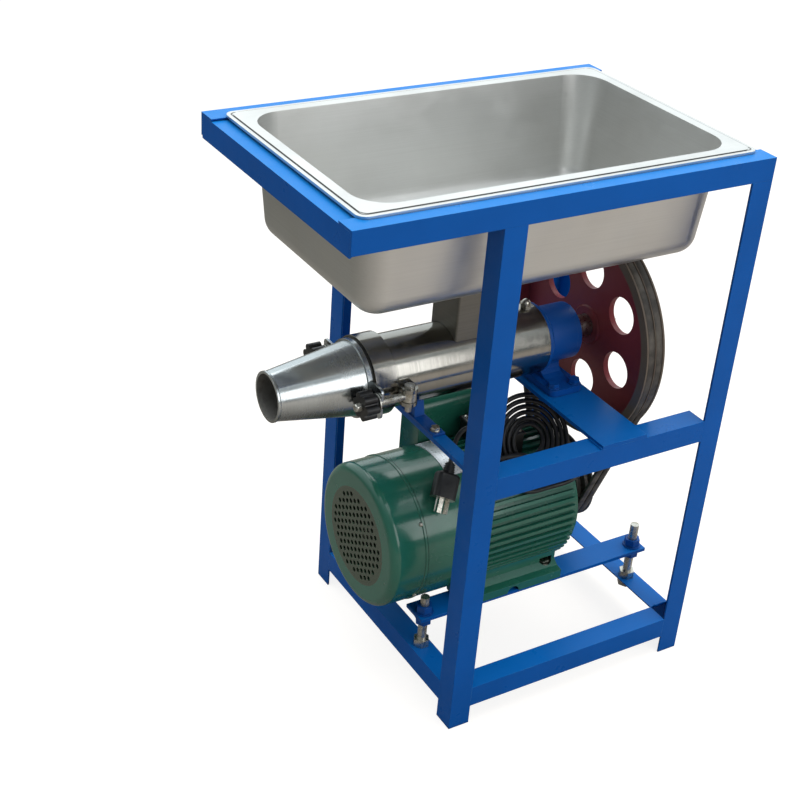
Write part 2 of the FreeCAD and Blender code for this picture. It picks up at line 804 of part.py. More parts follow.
def main_shaft():
    """The stepped shaft that carries the screw in front and the big pulley behind."""
    socket_end = barrel_rear_x - spigot_length - auger_rear_gap
    thread_end = hub_rear_x + shaft_thread_length
    outline = [
        (socket_end - shaft_socket_depth, 0),
        (socket_end - shaft_socket_depth, shaft_socket_radius),
        (socket_end, shaft_socket_radius),
        (socket_end, shaft_radius - shaft_fit),
        (hub_front_x, shaft_radius - shaft_fit),
        (hub_front_x, pulley_seat_radius),
        (hub_rear_x - overcut, pulley_seat_radius),
        (hub_rear_x - overcut, m10_radius * 2),
        (thread_end - shaft_thread_chamfer, m10_radius * 2),
        (thread_end, m10_radius * 2 - shaft_thread_chamfer),
        (thread_end, 0),
    ]
    return turned(outline, axis_z)


def shaft_nut():
    """The washer and nut that hold the big pulley on its shaft."""
    nut_x = hub_rear_x + shaft_washer_thick
    washer = ring_x(hub_rear_x, nut_x, pulley_seat_radius + shaft_washer_rim, m10_radius * 2, axis_z)
    nut = placed(hex_nut(m10_radius * shaft_nut_ratio, m10_radius * 2), Vector(nut_x, 0, axis_z), X_AXIS)
    return [washer, nut]


def bearing(x, z, bore, outer, width):
    """A shielded ball bearing: two races with a recessed shield on each side."""
    inner_race = bore + (outer - bore) * race_share
    outer_race = outer - (outer - bore) * race_share
    recess = width * shield_recess_share
    outline = [
        (x, bore), (x, inner_race), (x + recess, inner_race), (x + recess, outer_race),
        (x, outer_race), (x, outer),
        (x + width, outer), (x + width, outer_race), (x + width - recess, outer_race),
        (x + width - recess, inner_race), (x + width, inner_race), (x + width, bore),
    ]
    return turned(outline, z)


def bearing_housing():
    """The casting that plugs the barrel, carries both bearings and stands on the rear bar."""
    front = barrel_rear_x - spigot_length
    seat = bearing_seat_x
    outline = [
        (front, seal_outer_radius), (front, barrel_bore_radius), (barrel_rear_x, barrel_bore_radius),
        (barrel_rear_x, housing_radius), (housing_rear_x, housing_radius),
        (housing_rear_x, bearing_outer_radius), (seat, bearing_outer_radius),
        (seat, shaft_radius + housing_bore_gap),
        (front + seal_width, shaft_radius + housing_bore_gap), (front + seal_width, seal_outer_radius),
    ]
    body = turned(outline, axis_z)
    inside = housing_radius - housing_collar
    collar_x = barrel_rear_x + housing_collar_end
    collar = turned([(barrel_rear_x, inside), (barrel_rear_x, barrel_outer_radius),
                     (barrel_rear_x + housing_collar, barrel_outer_radius), (collar_x, housing_radius),
                     (collar_x, inside)], axis_z)
    foot_top = rear_bar_top + housing_foot_thick
    foot = box(barrel_rear_x, housing_rear_x, -housing_foot_half, housing_foot_half, rear_bar_top, foot_top)
    upright = [e for e in foot.Edges if e.BoundBox.ZLength > housing_foot_thick / 2]
    foot = foot.makeFillet(housing_foot_corner, upright)
    casting = fused([body, collar, foot, housing_pedestal(foot_top)])
    bore = fused([rod_x(seat, housing_rear_x + overcut, bearing_outer_radius, axis_z),
                  rod_x(front - overcut, housing_rear_x, shaft_radius + housing_bore_gap, axis_z)])
    return casting.cut(fused([bore] + housing_bolt_holes()))


def housing_pedestal(foot_top):
    """A post between foot and housing, hollowed on both sides and flared at its base."""
    waist_z = axis_z - housing_radius
    flare = pedestal_base_half - pedestal_waist_half
    side = [(pedestal_base_half, foot_top - overcut), (pedestal_base_half, foot_top)]
    for turn in (22.5, 45.0, 67.5):
        a = math.radians(turn)
        side.append((pedestal_base_half - flare * math.sin(a), waist_z - (waist_z - foot_top) * math.cos(a)))
    side += [(pedestal_waist_half, waist_z), (pedestal_waist_half, axis_z - bearing_outer_radius)]
    corners = side + [(-y, z) for y, z in reversed(side)]
    x = housing_mid_x - pedestal_length / 2
    return plate([Vector(x, y, z) for y, z in corners], Vector(pedestal_length, 0, 0))


def housing_cover():
    """The rear cover that keeps the bearings in, with a boss round the shaft and three screws."""
    inside = shaft_radius + cover_shaft_gap
    boss_rear_x = cover_rear_x + housing_boss_length
    cover = fused([ring_x(housing_rear_x, cover_rear_x, housing_radius, inside, axis_z),
                   ring_x(cover_rear_x, boss_rear_x, housing_boss_radius, inside, axis_z)])
    screws = []
    for turn in (90, 210, 330):
        a = math.radians(turn)
        y = cover_screw_circle * math.cos(a)
        z = axis_z + cover_screw_circle * math.sin(a)
        screws.append(rod_x(cover_rear_x, cover_rear_x + cover_screw_head,
                            cover_screw_radius * hex_ratio, z, y))
    return [cover] + screws


def bearings():
    """Two bearings with a spacer ring between them."""
    seat = bearing_seat_x
    front = bearing(seat, axis_z, shaft_radius, bearing_outer_radius, bearing_width)
    spacer = ring_x(seat + bearing_width, housing_rear_x - bearing_width, bearing_outer_radius,
                    bearing_outer_radius - spacer_thick, axis_z)
    rear = bearing(housing_rear_x - bearing_width, axis_z, shaft_radius, bearing_outer_radius, bearing_width)
    return [front, spacer, rear]


def shaft_seal():
    """The lip seal at the front of the housing's spigot."""
    front = barrel_rear_x - spigot_length
    return ring_x(front, front + seal_width, seal_outer_radius, shaft_radius + shaft_fit, axis_z)


def bolts_down(places, top_z, through, radius):
    """Bolts set down through a stack, each with its nut underneath."""
    solids = []
    for x, y in places:
        bolt = hex_bolt(radius, through + radius * 2 * nut_ratio + bolt_end)
        bolt.translate(Vector(x, y, top_z))
        nut = hex_nut(radius, radius)
        nut.translate(Vector(x, y, top_z - through - radius * 2 * nut_ratio))
        solids.append(bolt.fuse(nut).removeSplitter())
    return solids


def barrel_saddle():
    """The foot that carries the front of the barrel on the front cross bar."""
    x0 = front_bar_x
    x1 = front_bar_x + front_bar_width
    foot = box(x0, x1, -saddle_half, saddle_half, mid_rail_top, mid_rail_top + saddle_foot_thick)
    base_half = saddle_cradle_half + saddle_cradle_flare
    top = axis_z - saddle_reach
    x = x0 + saddle_cradle_inset
    cradle = plate([Vector(x, -base_half, mid_rail_top), Vector(x, -saddle_cradle_half, top),
                    Vector(x, saddle_cradle_half, top), Vector(x, base_half, mid_rail_top)],
                   Vector(front_bar_width - 2 * saddle_cradle_inset, 0, 0))
    body = fused([foot, cradle]).cut(rod_x(x0 - overcut, x1 + overcut, barrel_outer_radius, axis_z))
    return body.cut(fused(saddle_bolt_holes()))


def belt_places():
    """The middle of each belt along X, counted from the pulley's front face."""
    middle = pulley_face / 2
    return (middle - belt_spacing / 2, middle + belt_spacing / 2)


def grooved_rim(x, radius):
    """The outer line of a two-groove pulley from front to back, as (x, radius) corners."""
    slope = math.tan(math.radians(belt_half_angle))
    depth = belt_height + belt_below_rim + belt_clearance
    top_half = belt_width / 2 + belt_clearance + belt_below_rim * slope
    bottom_half = top_half - depth * slope
    line = [(x, radius)]
    for middle in belt_places():
        line += [(x + middle - top_half, radius), (x + middle - bottom_half, radius - depth),
                 (x + middle + bottom_half, radius - depth), (x + middle + top_half, radius)]
    return line + [(x + pulley_face, radius)]


def big_pulley():
    """The driven pulley: a grooved rim, a flat web with round holes, and a hub."""
    depth = belt_height + belt_below_rim + belt_clearance
    inside = pulley_radius - depth - pulley_rim_depth
    web_rear = pulley_rear_x - pulley_web_back
    web_front = web_rear - pulley_web_thick
    outline = grooved_rim(pulley_x, pulley_radius) + [
        (pulley_rear_x, inside), (web_rear, inside - pulley_draft), (web_rear, pulley_hub_radius),
        (hub_rear_x, pulley_hub_radius - pulley_draft), (hub_rear_x, pulley_seat_radius),
        (hub_front_x, pulley_seat_radius), (hub_front_x, pulley_hub_radius - pulley_draft),
        (web_front, pulley_hub_radius), (web_front, inside - pulley_draft), (pulley_x, inside),
    ]
    body = turned(outline, axis_z)
    holes = []
    for i in range(pulley_holes):
        turn = math.radians(pulley_hole_turn + 360 * i / pulley_holes)
        y = pulley_hole_circle * math.cos(turn)
        z = axis_z + pulley_hole_circle * math.sin(turn)
        holes.append(rod_x(pulley_x, pulley_rear_x, pulley_hole_radius, z, y))
    return body.cut(fused(holes))


def motor_pulley():
    """The small driving pulley with a hub towards the motor."""
    outline = grooved_rim(pulley_x, motor_pulley_radius) + [
        (pulley_rear_x, motor_pulley_hub + motor_pulley_web),
        (pulley_rear_x - motor_pulley_recess, motor_pulley_hub),
        (pulley_rear_x, motor_pulley_hub),
        (pulley_rear_x, motor_shaft_radius), (pulley_x, motor_shaft_radius),
    ]
    return turned(outline, motor_z)


def belt(middle):
    """One V-belt round both pulleys: two straight runs and the wrap at each end."""
    slope = math.tan(math.radians(belt_half_angle))
    half = belt_width / 2
    low = half - belt_height * slope
    big = pulley_radius - belt_below_rim
    small = motor_pulley_radius - belt_below_rim
    apart = axis_z - motor_z
    tilt = math.asin((big - small) / apart)
    x = pulley_x + middle
    outward = Vector(0, -math.cos(tilt), -math.sin(tilt))

    def section(centre, radius):
        """The belt's cross-section where it leaves a pulley on the near side."""
        top = centre + outward * radius
        bottom = centre + outward * (radius - belt_height)
        return Part.Face(Part.makePolygon([top - X_AXIS * half, top + X_AXIS * half, bottom + X_AXIS * low,
                                           bottom - X_AXIS * low, top - X_AXIS * half]))

    big_centre = Vector(x, 0, axis_z)
    small_centre = Vector(x, 0, motor_z)
    wrap = 180 + 2 * math.degrees(tilt)
    over = section(big_centre, big).revolve(big_centre, -X_AXIS, wrap)
    under = section(small_centre, small).revolve(small_centre, X_AXIS, 360 - wrap)
    run = section(big_centre, big).extrude((small_centre + outward * small) - (big_centre + outward * big))
    return fused([over, under, run, mirrored(run)])


def motor_frame():
    """The motor's body: a smooth front part and a finned rear part, with cast feet."""
    bore = rod_x(smooth_front_x - overcut, fin_rear_x + overcut, motor_bore_radius, motor_z)
    spigot_rear_x = smooth_front_x + fan_cover_lap
    spigot = rod_x(smooth_front_x, spigot_rear_x, motor_spigot_radius, motor_z)
    smooth = rod_x(spigot_rear_x, fin_front_x, motor_smooth_radius, motor_z)
    pad = top_band(fin_front_x, plate_x + plate_length, motor_smooth_radius, fin_root_radius - fin_sink,
                   plate_half_angle + plate_pad_margin)
    step = 2 * math.pi / fin_count
    corners = []
    tip = fin_share / 2
    root = tip + fin_draft
    for i in range(fin_count):
        for offset, radius in ((-root, fin_root_radius), (-tip, fin_tip_radius),
                               (tip, fin_tip_radius), (root, fin_root_radius)):
            turn = (i + offset) * step
            corners.append(Vector(fin_front_x, radius * math.cos(turn), motor_z + radius * math.sin(turn)))
    finned = plate(corners, Vector(fin_length, 0, 0))
    feet = []
    foot_front = fin_rear_x - motor_foot_inset - motor_foot_length
    foot_top = bar_top_z + motor_foot_thick
    toe, toe_rise = motor_foot_toe
    web, web_rise = motor_foot_web
    flank, flank_drop = motor_foot_flank
    crown, crown_drop = motor_foot_crown
    for side in (-1, 1):
        corners = [(motor_foot_inner, bar_top_z), (motor_foot_half, bar_top_z), (motor_foot_half, foot_top),
                   (motor_foot_half - toe, foot_top + toe_rise), (motor_foot_half - web, foot_top + web_rise),
                   (fin_root_radius - flank, motor_z - flank_drop),
                   (motor_foot_inner - crown, motor_z - crown_drop)]
        outline = [Vector(foot_front, side * y, z) for y, z in corners]
        feet.append(plate(outline, Vector(motor_foot_length, 0, 0)))
    arch_start = Vector(foot_front + motor_foot_length / 2, -frame_width, bar_top_z)
    arch = rod(arch_start, Y_AXIS, 2 * frame_width, motor_foot_arch)
    body = fused([spigot, smooth, finned, pad] + [foot.cut(arch) for foot in feet])
    pads = [rod_z(x, y, foot_top, foot_top + motor_bolt_pad, m10_radius * washer_ratio + overcut)
            for x, y in motor_bolt_places()]
    holes = [rod_z(x, y, 0, foot_top + overcut, m10_radius + hole_clearance) for x, y in motor_bolt_places()]
    return body.cut(fused([bore] + pads + holes))


def top_band(x0, x1, outer, inner, half_angle):
    """A piece of a ring about the motor's axis, as far to each side of its top as the angle."""
    reach = 2 * outer
    turn = math.radians(half_angle)
    y = reach * math.sin(turn)
    z = motor_z + reach * math.cos(turn)
    wedge = plate([Vector(x0, 0, motor_z), Vector(x0, -y, z), Vector(x0, y, z)], Vector(x1 - x0, 0, 0))
    return ring_x(x0, x1, outer, inner, motor_z).common(wedge)


def motor_bolt_places():
    """The four bolts of the motor's feet, as (x, y)."""
    rear = fin_rear_x - motor_foot_inset - motor_bolt_inset
    front = fin_rear_x - motor_foot_inset - motor_foot_length + motor_bolt_inset
    return [(x, y) for x in (front, rear) for y in (-motor_bolt_spread, motor_bolt_spread)]


def motor_stator():
    """Iron core and winding heads inside the motor's frame."""
    iron = ring_x(stator_front_x, stator_rear_x, motor_bore_radius, stator_bore_radius, motor_z)
    heads = [ring_x(x, x + winding_length, motor_bore_radius - winding_inset,
                    stator_bore_radius + winding_bore_gap, motor_z)
             for x in (stator_front_x - winding_length, stator_rear_x)]
    return fused([iron] + heads)


def motor_rotor():
    """Iron core on the motor's shaft."""
    return ring_x(stator_front_x, stator_rear_x, stator_bore_radius - rotor_gap,
                  motor_shaft_radius + rotor_shaft_step, motor_z)


def motor_shaft():
    """The shaft through the motor, from the fan to the small pulley."""
    fan_end = smooth_front_x - fan_blade_depth - fan_gap
    running = motor_shaft_radius - shaft_fit
    thick = motor_shaft_radius + rotor_shaft_step
    end = pulley_rear_x + motor_shaft_end
    outline = [
        (fan_end, 0), (fan_end, running), (stator_front_x, running), (stator_front_x, thick),
        (stator_rear_x, thick), (stator_rear_x, running), (motor_shield_rear_x, running),
        (pulley_x, running), (pulley_x, motor_shaft_radius), (pulley_rear_x, motor_shaft_radius),
        (end, motor_shaft_radius - overcut), (end, 0),
    ]
    return turned(outline, motor_z)


def rear_shield():
    """The end shield on the pulley side, with its bearing boss."""
    x = fin_rear_x
    rear = motor_shield_rear_x
    lid = rear - shield_wall
    seat = motor_bore_radius - shield_wall
    shaft_hole = motor_shaft_radius + overcut
    outline = [
        (x - shield_back, motor_bearing_radius), (x - shield_back, motor_boss_radius),
        (x, motor_boss_radius + shield_wall), (x, seat), (x - shield_spigot, seat),
        (x - shield_spigot, motor_bore_radius), (x, motor_bore_radius), (x, motor_shield_radius),
        (x + shield_edge, motor_shield_radius), (x + 2 * shield_edge, motor_shield_radius - shield_dish),
        (lid, motor_boss_radius + shield_wall), (rear, motor_boss_radius), (rear, shaft_hole),
        (rear - shield_spigot, shaft_hole), (rear - shield_spigot, motor_bearing_radius),
    ]
    return turned(outline, motor_z)


def front_shield():
    """The end shield on the fan side, inside the fan's cover."""
    x = smooth_front_x
    face = x - shield_wall
    outline = [
        (x, motor_bearing_radius), (face, motor_bearing_radius), (face, motor_boss_radius),
        (x, motor_boss_radius + shield_wall), (x, motor_bore_radius), (x + shield_spigot, motor_bore_radius),
        (x + shield_spigot, motor_boss_radius + shield_wall), (x + shield_boss_depth, motor_boss_radius),
        (x + shield_boss_depth, motor_bearing_radius),
    ]
    return turned(outline, motor_z)


def motor_bearings():
    """The two ball bearings of the motor's shaft."""
    front = bearing(smooth_front_x - shield_wall / 2, motor_z, motor_shaft_radius, motor_bearing_radius,
                    motor_bearing_width)
    seat_x = motor_shield_rear_x - shield_spigot - motor_bearing_width
    rear = bearing(seat_x, motor_z, motor_shaft_radius, motor_bearing_radius, motor_bearing_width)
    return [front, rear]


def cooling_fan():
    """The fan on the front end of the motor's shaft."""
    rear = smooth_front_x - fan_gap
    front = rear - fan_blade_depth
    hub = ring_x(front, rear, fan_hub_radius, motor_shaft_radius, motor_z)
    disc = ring_x(rear - fan_disc_thick, rear, fan_radius, fan_hub_radius - overcut, motor_z)
    pieces = [hub, disc]
    for i in range(fan_blades):
        blade = box(front, rear - overcut, -fan_blade_thick / 2, fan_blade_thick / 2,
                    motor_z + fan_hub_radius - fan_root, motor_z + fan_radius)
        blade.rotate(Vector(0, 0, motor_z), X_AXIS, 360 * i / fan_blades)
        pieces.append(blade)
    return fused(pieces)


def fan_cover():
    """A pressed cover with a round shoulder, a rolled edge and a grille of round holes."""
    front = cover_front_x
    rear = cover_front_x + fan_cover_length
    r = fan_cover_round
    outer = rod_x(front, rear, fan_cover_radius, motor_z)
    outer = outer.makeFillet(r, [e for e in outer.Edges if e.BoundBox.XMax < front + 0.01])
    bead_radius = fan_cover_radius + fan_cover_bead
    sunk = fan_cover_radius - overcut
    bead_x = rear - fan_cover_bead_length
    bead = turned([(bead_x, sunk), (bead_x + overcut, bead_radius), (rear - overcut, bead_radius),
                   (rear, sunk)], motor_z)
    inner_radius = fan_cover_radius - fan_cover_wall
    inner = rod_x(front + fan_cover_wall, rear + overcut, inner_radius, motor_z)
    inner = inner.makeFillet(r - fan_cover_wall, [e for e in inner.Edges if e.BoundBox.XMax < front + r])
    return fused([outer, bead]).cut(Part.makeCompound([inner] + grille_holes(front)))


def grille_holes(front):
    """Bars that cut the grille, in upright columns that are staggered by half a pitch."""
    column_step = grille_pitch * math.sqrt(0.75)
    reach = int(grille_field_radius / column_step) + 1
    through = Vector(fan_cover_wall + 2 * overcut, 0, 0)
    holes = []
    for column in range(-reach, reach + 1):
        for row in range(-reach, reach + 1):
            y = column * column_step
            z = (row + (column % 2) / 2) * grille_pitch
            if math.hypot(y, z) > grille_field_radius:
                continue
            turns = [2 * math.pi * i / grille_hole_sides for i in range(grille_hole_sides)]
            corners = [Vector(front - overcut, y + grille_hole_radius * math.cos(a),
                              motor_z + z + grille_hole_radius * math.sin(a)) for a in turns]
            holes.append(plate(corners, through))
    return holes


def capacitor_cover():
    """The rounded cover over the capacitors, on the far shoulder of the motor."""
    x0 = smooth_front_x + hump_setback
    x1 = x0 + hump_length
    top = motor_z + hump_top
    cover = box(x0, x1, hump_near, hump_near + hump_width, motor_z + hump_bottom, top)
    shoulders = [e for e in cover.Edges if e.BoundBox.ZMin > top - 0.01 and e.BoundBox.XLength > hump_round]
    cover = cover.makeFillet(hump_round, shoulders)
    clear = rod_x(x0 - overcut, fin_front_x, motor_smooth_radius, motor_z)
    fin_clear = rod_x(fin_front_x, fin_rear_x, fin_tip_radius, motor_z)
    return cover.cut(fused([clear, fin_clear]))


def nameplate():
    """A bare metal plate bent over the top of the motor."""
    inner = motor_smooth_radius + plate_seat
    return top_band(plate_x, plate_x + plate_length, inner + plate_thick, inner, plate_half_angle)


def terminal_box():
    """The terminal box on top of the motor, with its lid and cable gland."""
    x0 = terminal_x()
    x1 = x0 + box_length
    top = motor_z + box_top
    body = box(x0, x1, -box_half, box_half, motor_z + fin_tip_radius / 2, top)
    body = body.cut(rod_x(x0 - overcut, x1 + overcut, fin_tip_radius, motor_z))
    floor_z = motor_z + fin_tip_radius + box_wall
    inside = box(x0 + box_wall, x1 - box_wall, -box_half + box_wall, box_half - box_wall, floor_z,
                 top + overcut)
    lid_half = box_half + box_lid_edge
    lid = box(x0 - box_lid_edge, x1 + box_lid_edge, -lid_half, lid_half, top, top + box_lid_thick)
    rim = [e for e in lid.Edges if e.BoundBox.ZMin > top + box_lid_thick - 0.01]
    lid = lid.makeFillet(box_lid_round, rim)
    gland_start = Vector(x1, 0, gland_z())
    hole = rod(gland_start - X_AXIS * (box_wall + overcut), X_AXIS, box_wall + 2 * overcut, cable_radius)
    gland = rod(gland_start, X_AXIS, gland_length, gland_radius)
    gland = gland.cut(rod(gland_start - X_AXIS, X_AXIS, gland_length + 2 * overcut, cable_radius))
    return {"terminal_box": [body.cut(fused([inside, hole])), lid], "cable_gland": gland}


def coil_frame():
    """The coil's centre, its uphill direction and the normal that faces away from the motor."""
    slope = math.radians(coil_slope)
    uphill = Vector(0, math.cos(slope), math.sin(slope))
    normal = Vector(0, -math.sin(slope), math.cos(slope))
    reach = fin_tip_radius + cable_radius + cable_rest
    off_axis = math.sqrt(reach ** 2 - coil_above_foot ** 2)
    centre = Vector(terminal_x() + coil_x_from_box + box_length / 2, 0, motor_z)
    return centre + normal * off_axis + uphill * (coil_above_foot + coil_radius), uphill, normal


def on_coil(across, up, lift):
    """A point by its place in the coil's plane and its lift out of that plane."""
    centre, uphill, normal = coil_frame()
    return centre + X_AXIS * across + uphill * up + normal * lift


def bent(start, along, centre, angle):
    """A round cable that leaves a point in a direction and turns about a centre."""
    section = Part.Face(Part.Wire(Part.Circle(start, along, cable_radius).toShape()))
    axis = along.cross((centre - start).normalize())
    return section.revolve(centre, axis, angle)


def coil():
    """A flat spiral of half turns, each a little smaller than the one before, from the bottom."""
    pieces = []
    length = 0.0
    low = -coil_radius
    side = -1
    for i in range(coil_half_turns):
        radius = coil_radius - i * coil_step
        pieces.append(bent(on_coil(0, low, 0), X_AXIS * side, on_coil(0, low - side * radius, 0), 180))
        length += math.pi * radius
        low -= side * 2 * radius
        side = -side
    print("coil length", round(length), "least gap between turns", 2 * coil_step - 2 * cable_radius)
    return joined(pieces, length)


def joined(pieces, length):
    """Cable pieces end to end as one solid, with its volume against section times length printed."""
    body = fused(pieces)
    ideal = math.pi * cable_radius ** 2 * length
    print("tube volume over section times length", round(body.Volume / ideal, 4), "solids", len(body.Solids))
    return body


def gland_mouth():
    """Where the cable leaves its gland."""
    return Vector(terminal_x() + box_length + gland_length, 0, gland_z())


def box_tail():
    """The cable from the gland round to the start of the coil, with one loose bight."""
    mouth = gland_mouth()
    bight = [(17, 0, 0), (41, -5, -3.5), (59, -20, -10.5), (66, -44, -19.5), (64, -68, -29.5),
             (51, -83, -40.5), (31, -83, -48.5)]
    return [mouth] + [mouth + Vector(*step) for step in bight] + [on_coil(22, -coil_radius, 0),
                                                                  on_coil(0, -coil_radius, 0)]


def plug_tail():
    """The cable from the middle of the coil over its turns, up in an arch and down to the plug."""
    top, down = plug_top()
    mouth = gland_mouth()
    end = -coil_radius + coil_half_turns * coil_step
    over = [(0, 0, 0), (-6, 0, 0), (-12, 2.5, 3.2), (-18, 5, 6.8), (-31, 8, 9.8), (-54, 9, 9)]
    arch = [(-80, -60, 2), (-89, -58.5, 9.5), (-93, -55, 23.5), (-96, -49, 38.5), (-105, -43, 48.5),
            (-118, -40, 45.5), (-127, -41, 33.5)]
    return ([on_coil(across, end + up, lift) for across, up, lift in over]
            + [mouth + Vector(*step) for step in arch] + [top - down * plug_lead, top])


def plug_top():
    """Where the cable enters the plug, and the plug's direction."""
    top = gland_mouth() + Vector(-137.5, -49.7, 7)
    return top, Vector(-1, -1, -math.sqrt(2)).normalize()


def cable_run(points, name):
    """Straight runs with the largest arcs that they allow, and the least radius printed."""
    here = points[0]
    pieces = []
    radii = []
    length = 0.0
    for before, corner, after in zip(points, points[1:], points[2:]):
        ahead = after - corner
        along = corner - before
        turn = along.getAngle(ahead)
        trim = cable_trim_share * min(along.Length, ahead.Length)
        radius = trim / math.tan(turn / 2)
        radii.append(radius)
        along.normalize()
        ahead.normalize()
        start = corner - along * trim
        centre = corner + (ahead - along).normalize() * (radius / math.cos(turn / 2))
        pieces.append(rod(here, along, (start - here).Length, cable_radius))
        pieces.append(bent(start, along, centre, math.degrees(turn)))
        length += (start - here).Length + radius * turn
        here = corner + ahead * trim
    last = points[-1] - here
    pieces.append(rod(here, last, last.Length, cable_radius))
    length += last.Length
    print(name, "length", round(length), "arc radii", [round(r) for r in radii])
    return joined(pieces, length)


def mains_cable():
    """The two free ends of the cable, and the coil between them."""
    ends = [cable_run(box_tail(), "box tail"), cable_run(plug_tail(), "plug tail")]
    return {"cable_ends": ends, "cable_coil": coil()}


def mains_plug():
    """A moulded plug with a tapered relief and three flat blades."""
    top, down = plug_top()
    relief = Part.makeCone(plug_relief_radius, plug_relief_radius + plug_relief_flare, plug_relief)
    relief = relief.cut(Part.makeCylinder(cable_radius, plug_socket))
    start = plug_relief - plug_relief_lap
    face = start + plug_length
    block = box(-plug_width / 2, plug_width / 2, -plug_thick / 2, plug_thick / 2, start, face)
    upright = [e for e in block.Edges if e.BoundBox.ZLength > plug_length / 2]
    block = block.makeFillet(plug_thick * plug_side_round, upright)
    top_rim = [e for e in block.Edges if e.BoundBox.ZMax < start + 0.1]
    block = block.makeFillet(plug_thick * plug_top_round, top_rim)
    pieces = [relief, block]
    for x, y, turn in ((-plug_blade_spread, plug_blade_rise, 30), (plug_blade_spread, plug_blade_rise, -30),
                       (0, -plug_blade_drop, 90)):
        blade = box(-plug_blade_thick / 2, plug_blade_thick / 2, -plug_blade_width / 2, plug_blade_width / 2,
                    face - overcut, face + plug_blade_length)
        blade.rotate(Vector(0, 0, 0), Z_AXIS, turn)
        blade.translate(Vector(x, y, 0))
        pieces.append(blade)
    moved = fused(pieces)
    moved.translate(Vector(0, 0, -plug_socket))
    facing = down.cross(X_AXIS).normalize()
    across = facing.cross(down).normalize()
    moved.Placement = Placement(top, Rotation(across, facing, down, "ZXY"))
    return moved


def terminal_x():
    """The front face of the terminal box."""
    return smooth_front_x + box_setback


def gland_z():
    """The height of the cable gland, half way up the inside of the terminal box."""
    return motor_z + (fin_tip_radius + box_wall + box_top) / 2


def motor_bars():
    """Two flat bars that carry the motor and slide on the studs."""
    x0 = leg_x + angle_wall
    x1 = rear_x - angle_wall
    holes = stud_holes(stud_hole_clearance)
    holes += [rod_z(x, y, 0, bar_top_z + 1, m10_radius + hole_clearance) for x, y in motor_bolt_places()]
    bars = []
    for y in (-bar_spread, bar_spread):
        bar = box(x0, x1, y - bar_width / 2, y + bar_width / 2, bar_top_z - bar_thick, bar_top_z)
        bars.append(bar.cut(fused(holes)))
    return bars


def tension_studs():
    """Four upright studs, each locked to a base rail by a nut above and below its flange."""
    solids = []
    low = base_rail_top - angle_wall - stud_drop
    for x, y in stud_places():
        stud = rod_z(x, y, low, stud_rise_front if x < 0 else stud_rise_rear, stud_radius)
        lower = hex_nut(stud_radius, stud_radius - 1)
        lower.translate(Vector(x, y, base_rail_top - angle_wall - stud_radius * 2 * nut_ratio))
        upper = hex_nut(stud_radius, stud_radius - 1)
        upper.translate(Vector(x, y, base_rail_top))
        solids.append(fused([stud, lower, upper]))
    return solids


def adjusting_nuts():
    """A nut and washer under and over each bar end, which set the belts' tension."""
    bore = stud_radius + thread_clearance
    height = stud_radius * 2 * nut_ratio
    solids = []
    for x, y in stud_places():
        washer = Part.makeCylinder(stud_radius * washer_ratio, flat_washer_thick)
        washer = washer.cut(Part.makeCylinder(bore, flat_washer_thick))
        above = hex_nut(stud_radius, bore)
        above.translate(Vector(0, 0, flat_washer_thick))
        upper = fused([washer, above])
        lower = upper.mirror(Vector(0, 0, 0), Z_AXIS)
        upper.translate(Vector(x, y, bar_top_z))
        lower.translate(Vector(x, y, bar_top_z - bar_thick))
        solids += [upper, lower]
    return solids


def drive_key(z, seat, x0, x1):
    """A key in the top of a shaft, standing up into its pulley's hub."""
    return box(x0, x1, -drive_key_half, drive_key_half, z + seat - drive_key_depth, z + seat + drive_key_rise)


